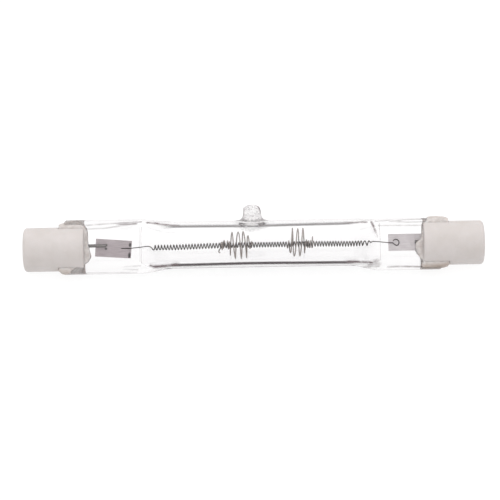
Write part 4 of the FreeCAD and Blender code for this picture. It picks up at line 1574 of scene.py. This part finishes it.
@dataclass
class CapCement:
    """Cement in a cap's slot, with an uneven lip round the glass that bulges out or draws back."""

    side: Side
    seed: float
    lip: tuple[Point, ...]
    stains: Point
    finish: CementFinish = field(default_factory=CementFinish)
    depth: float = 4.3
    half_width: float = 4.45
    shift: float = 0.1
    thickness: float = 3.4
    taper_start: float = 3.9
    edge_thickness: float = 2.3
    wear: float = 0.04
    inner_taper: float = 0.09
    lip_round: float = 0.25
    lip_start: float = 0.85
    lip_ripple: float = 0.1
    stain_start: float = 0.8
    stain_length: float = 0.18
    stain_loss: float = 0.6
    cuts: int = 34

    def lip_at(self, across: float) -> float:
        """How far the cement stands out of the cap, at a place across it; less than nought inside the cap."""
        places, reaches = zip(*self.lip)
        ripple = self.lip_ripple * noise.noise(Vector((across * 2.3, self.seed, 4.0)))
        return float(np.interp(across, places, reaches)) + ripple

    def place(self, unit: Vector) -> tuple[Vector, float]:
        """Moves a point of a cube onto the cement.

        Args:
            unit: The point, each coordinate from minus one to one.

        Returns:
            The point in millimetres, and how brown the cement is there.
        """
        outward = (1 - unit.x * self.side.value) / 2
        taper = 1 - self.inner_taper * (1 - outward) ** 6
        across = self.shift + unit.y * self.half_width * taper
        reach = mixed(-self.depth, self.lip_at(across), outward)
        narrow = eased((abs(across) - self.taper_start) / (self.half_width - self.taper_start))
        height = mixed(self.thickness, self.edge_thickness, narrow) / 2
        rounding = max(0.0, (outward - self.lip_start) / (1 - self.lip_start))
        up = unit.z * height * (1 - self.lip_round * rounding**2)
        coarse_scale, fine_scale = 0.9, 3.1
        swell = 0.5 + 0.5 * noise.noise(Vector((reach, across, up + self.seed)) * coarse_scale)
        fine = 0.5 + 0.5 * noise.noise(Vector((reach, across, up - self.seed)) * fine_scale)
        shrink = 1 - self.wear * (0.7 * swell + 0.3 * fine)
        edge = eased((abs(unit.y) - self.stain_start) / self.stain_length) * mixed(0.5, 1.0, swell)
        edge *= 1 - self.stain_loss * eased((outward - 0.8) / 0.2)
        stain = edge * self.stains[0 if unit.y < 0 else 1]
        return Vector((self.side.value * (PLACES.mouth - reach), across * shrink, up * shrink)), stain

    def build(self) -> Piece:
        """Makes the cement.

        Returns:
            The finished piece.
        """
        node = f"{self.side.word}_cap_cement"
        mesh = bpy.data.meshes.new(node + "_fill")
        stains = []
        with reworked(mesh) as work:
            bmesh.ops.create_cube(work, size=2.0)
            bmesh.ops.subdivide_edges(work, edges=work.edges, cuts=self.cuts, use_grid_fill=True)
            for vertex in work.verts:
                place, stain = self.place(vertex.co)
                vertex.co = place * MM
                stains.append(stain)
            bmesh.ops.recalc_face_normals(work, faces=work.faces)
        keep(mesh, "stain", stains)
        mesh.polygons.foreach_set("use_smooth", [True] * len(mesh.polygons))
        mesh.materials.append(made(self.finish))
        piece = linked(node + "_fill", mesh)
        return dressed(piece, "cement", node)


@dataclass
class Foil:
    """The molybdenum strip of one seal, with its weld marks."""

    side: Side
    length: float
    width: float
    place: float
    shift: float
    turn: float
    welds: tuple[tuple[float, float, float, float], ...]
    finish: FoilFinish = field(default_factory=FoilFinish)
    thickness: float = 0.036
    feather: float = 6.0
    ripple: float = 0.004
    ripple_scale: float = 1.4
    weld_reach: float = 1.6
    steps: tuple[int, int] = (72, 36)

    def build(self) -> Piece:
        """Makes the strip, thinned to a feather at its long edges.

        Returns:
            The finished piece.
        """
        along, across = self.steps
        turn = math.radians(self.turn)
        points, weld = [], []
        for way in (1, -1):
            for i in range(along + 1):
                for j in range(across + 1):
                    u, v = (i / along - 0.5) * self.length, (j / across - 0.5) * self.width
                    edge = min(1.0, (0.5 - abs(j / across - 0.5)) * self.feather)
                    spot = Vector((u * self.ripple_scale, v * self.ripple_scale, self.place))
                    z = way * self.thickness / 2 * math.sqrt(edge) + self.ripple * noise.noise(spot)
                    x = self.place + u * math.cos(turn) - v * math.sin(turn)
                    y = self.shift + u * math.sin(turn) + v * math.cos(turn)
                    points.append((x, y, z))
                    away = (math.hypot((u - mu) / ru, (v - mv) / rv) for mu, mv, ru, rv in self.welds)
                    weld.append(max((eased(self.weld_reach - far) for far in away), default=0.0))
        sheet = (along + 1) * (across + 1)
        faces = []
        for i in range(along):
            for j in range(across):
                a = i * (across + 1) + j
                face = (a, a + across + 1, a + across + 2, a + 1)
                faces += [face, tuple(sheet + corner for corner in face[::-1])]
        rim = [i * (across + 1) for i in range(along + 1)]
        rim += [along * (across + 1) + j for j in range(1, across + 1)]
        rim += [i * (across + 1) + across for i in range(along - 1, -1, -1)]
        rim += list(range(across - 1, 0, -1))
        for a, b in zip(rim, rim[1:] + rim[:1]):
            faces.append((a, b, sheet + b, sheet + a))
        piece = mesh_piece(f"{self.side.word}_seal_foil", np.array(points), faces, made(self.finish))
        keep(piece.data, "weld", weld)
        tidy(piece, 1e-8)
        smooth_by_angle(piece, 40)
        return dressed(piece, "molybdenum_foil", f"{self.side.word}_foil")


# Painted light: the right foil wears a lighter copy of the same molybdenum colours.
FOIL_PAINTED_LIGHTER = FoilFinish("molybdenum_foil_painted_lighter", light=(0.86, 0.82, 0.83), dark=(0.72, 0.67, 0.69))
FOILS = (
    Foil(
        Side.LEFT, length=6.2, width=3.05, place=-23.9, shift=-0.05, turn=-4.5,
        welds=((-1.3, 0.5, 0.2, 0.16), (-1.3, -0.1, 0.2, 0.16), (2.8, 0.8, 0.2, 0.3), (2.8, -1.0, 0.2, 0.5)),
    ),
    Foil(Side.RIGHT, length=6.2, width=2.9, place=26.0, shift=0.18, turn=0.0, welds=(), finish=FOIL_PAINTED_LIGHTER),
)


@dataclass
class OuterLead:
    """The round molybdenum lead from the foil out to the contact."""

    side: Side
    start: float
    shift: float
    finish: WireFinish = WireFinish("molybdenum_lead", (0.24, 0.225, 0.22), roughness=0.3)
    radius: float = 0.285
    level: float = 0.29
    slot_end: float = 33.25
    slant: float = 1.7
    bend: float = 0.4
    step: float = 0.1
    tip: float = 36.8

    def build(self, tree: GeometryTree) -> Piece:
        """Makes the lead.

        Args:
            tree: The winding tree, which here follows its guide with no turns.

        Returns:
            The finished piece.
        """
        guide = GuideLine()
        bends = [
            (self.start, self.shift, self.level),
            (self.slot_end - self.bend, self.shift, self.level),
            (self.slot_end + self.slant / 2, self.shift / 2, self.level / 2),
            (self.slot_end + self.slant + self.bend, 0.0, 0.0),
            (self.tip, 0.0, 0.0),
        ]
        for place in flowing(bends, 60):
            guide.add((self.side.value * place[0], place[1], place[2]))
        sizes = {"Wire_Sides": 24, "Step": self.step * MM, "Unevenness": 0.0, "Seed": 1.0}
        piece = guide.wound(tree, f"{self.side.word}_lead_wire", self.finish, self.radius, **sizes)
        smooth_by_angle(piece, 40)
        return dressed(piece, "molybdenum_wire", f"{self.side.word}_outer_lead")


@dataclass
class Studio:
    """A plain pale floor, soft light and a camera above the lamp."""

    pixels_across: float = 500.0
    pixels_for_mm: float = 5.856
    lamp_pixel: Point = (253.7, 246.13)
    tilt: float = 1.0
    elevation: float = 83.5
    lens: float = 150.0
    sensor: float = 36.0
    box_direction: tuple[float, float, float] = (0.0, 0.12, 1.0)
    box_focus: float = 1.0
    box_light: float = 1.2
    room_light: float = 0.5
    floor_half: float = 1.5
    floor_grey: float = 0.16
    floor_glow: float = 0.87

    def camera(self) -> None:
        """Sets the camera at the photograph's angle, with the lamp where its frame has it."""
        data = bpy.data.cameras.new("camera")
        data.lens = self.lens
        data.sensor_width = self.sensor
        data.clip_start, data.clip_end = 0.01, 10.0
        camera = linked("camera", data)
        rise, roll = math.radians(self.elevation), math.radians(self.tilt)
        back = Vector((0, -math.cos(rise), math.sin(rise)))
        right = Vector((1, 0, 0))
        up = back.cross(right)
        turn = Matrix.Rotation(-roll, 3, back)
        right, up = turn @ right, turn @ up
        view_width = self.pixels_across / self.pixels_for_mm
        distance = self.lens / self.sensor * view_width
        middle = self.pixels_across / 2
        off_right = (self.lamp_pixel[0] - middle) / self.pixels_for_mm
        off_up = (middle - self.lamp_pixel[1]) / self.pixels_for_mm
        aim = -right * off_right - up * off_up
        rotation = Matrix((right, up, back)).transposed().to_4x4()
        camera.matrix_world = PLACES.pose @ Matrix.Translation((aim + back * distance) * MM) @ rotation
        bpy.context.scene.camera = camera

    def floor(self) -> None:
        """Lays the floor that the lamp rests on. It gives off some light, so that it shows white."""
        graph = ShaderGraph("pale_floor")
        shader = graph.add(
            "BsdfPrincipled",
            Base_Color=(self.floor_grey, self.floor_grey, self.floor_grey, 1),
            Roughness=0.9,
            Specular_IOR_Level=0.1,
            Emission_Color=(1, 1, 1, 1),
            Emission_Strength=self.floor_glow,
        )
        mesh = bpy.data.meshes.new("floor")
        half = self.floor_half
        corners = [(-half, -half, 0), (half, -half, 0), (half, half, 0), (-half, half, 0)]
        mesh.from_pydata(corners, [], [(0, 1, 2, 3)])
        mesh.materials.append(graph.surface(shader))
        floor = linked("floor", mesh)

    def surroundings(self) -> None:
        """Lights the studio like a large soft box overhead, leaning to the exhaust tip's side."""
        world = bpy.data.worlds.new("studio")
        bpy.context.scene.world = world
        world.use_nodes = True
        graph = NodeGraph(world.node_tree)
        background = graph.tree.nodes["Background"]
        towards = graph.add("ShaderNodeVectorMath", {"operation": "DOT_PRODUCT"})
        graph.link(graph.add("ShaderNodeTexCoord").outputs["Generated"], towards.inputs[0])
        towards.inputs[1].default_value = Vector(self.box_direction).normalized()
        lit = graph.math("POWER", graph.math("MAXIMUM", towards.outputs["Value"], 0.0), self.box_focus)
        strength = graph.math("ADD", graph.math("MULTIPLY", lit, self.box_light), self.room_light)
        graph.link(strength, background.inputs["Strength"])
        background.inputs["Color"].default_value = (1.0, 0.995, 0.99, 1)
        bpy.context.scene.view_settings.view_transform = "Standard"

    def build(self) -> None:
        """Sets up floor, lights and camera."""
        self.camera()
        self.floor()
        self.surroundings()


def main() -> None:
    """Builds the lamp on its frame and sets up the studio."""
    logging.basicConfig(level=logging.INFO, format="%(name)s: %(message)s")
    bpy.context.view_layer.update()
    winding = wound_wire_tree()
    QuartzEnvelope().build()
    Filament().build(winding)
    for support in SUPPORTS:
        support.build(winding)
    for foil in FOILS:
        foil.build()
    OuterLead(Side.LEFT, start=25.2, shift=0.45).build(winding)
    OuterLead(Side.RIGHT, start=27.5, shift=0.2).build(winding)
    for side in Side:
        CeramicCap(side).build()
        Contact(side).build()
    CapCement(Side.LEFT, seed=4.0, lip=LEFT_LIP, stains=(0.65, 0.3)).build()
    CapCement(Side.RIGHT, seed=6.0, lip=RIGHT_LIP, stains=(1.0, 0.2)).build()
    Studio().build()


if __name__ == "__main__":
    main()
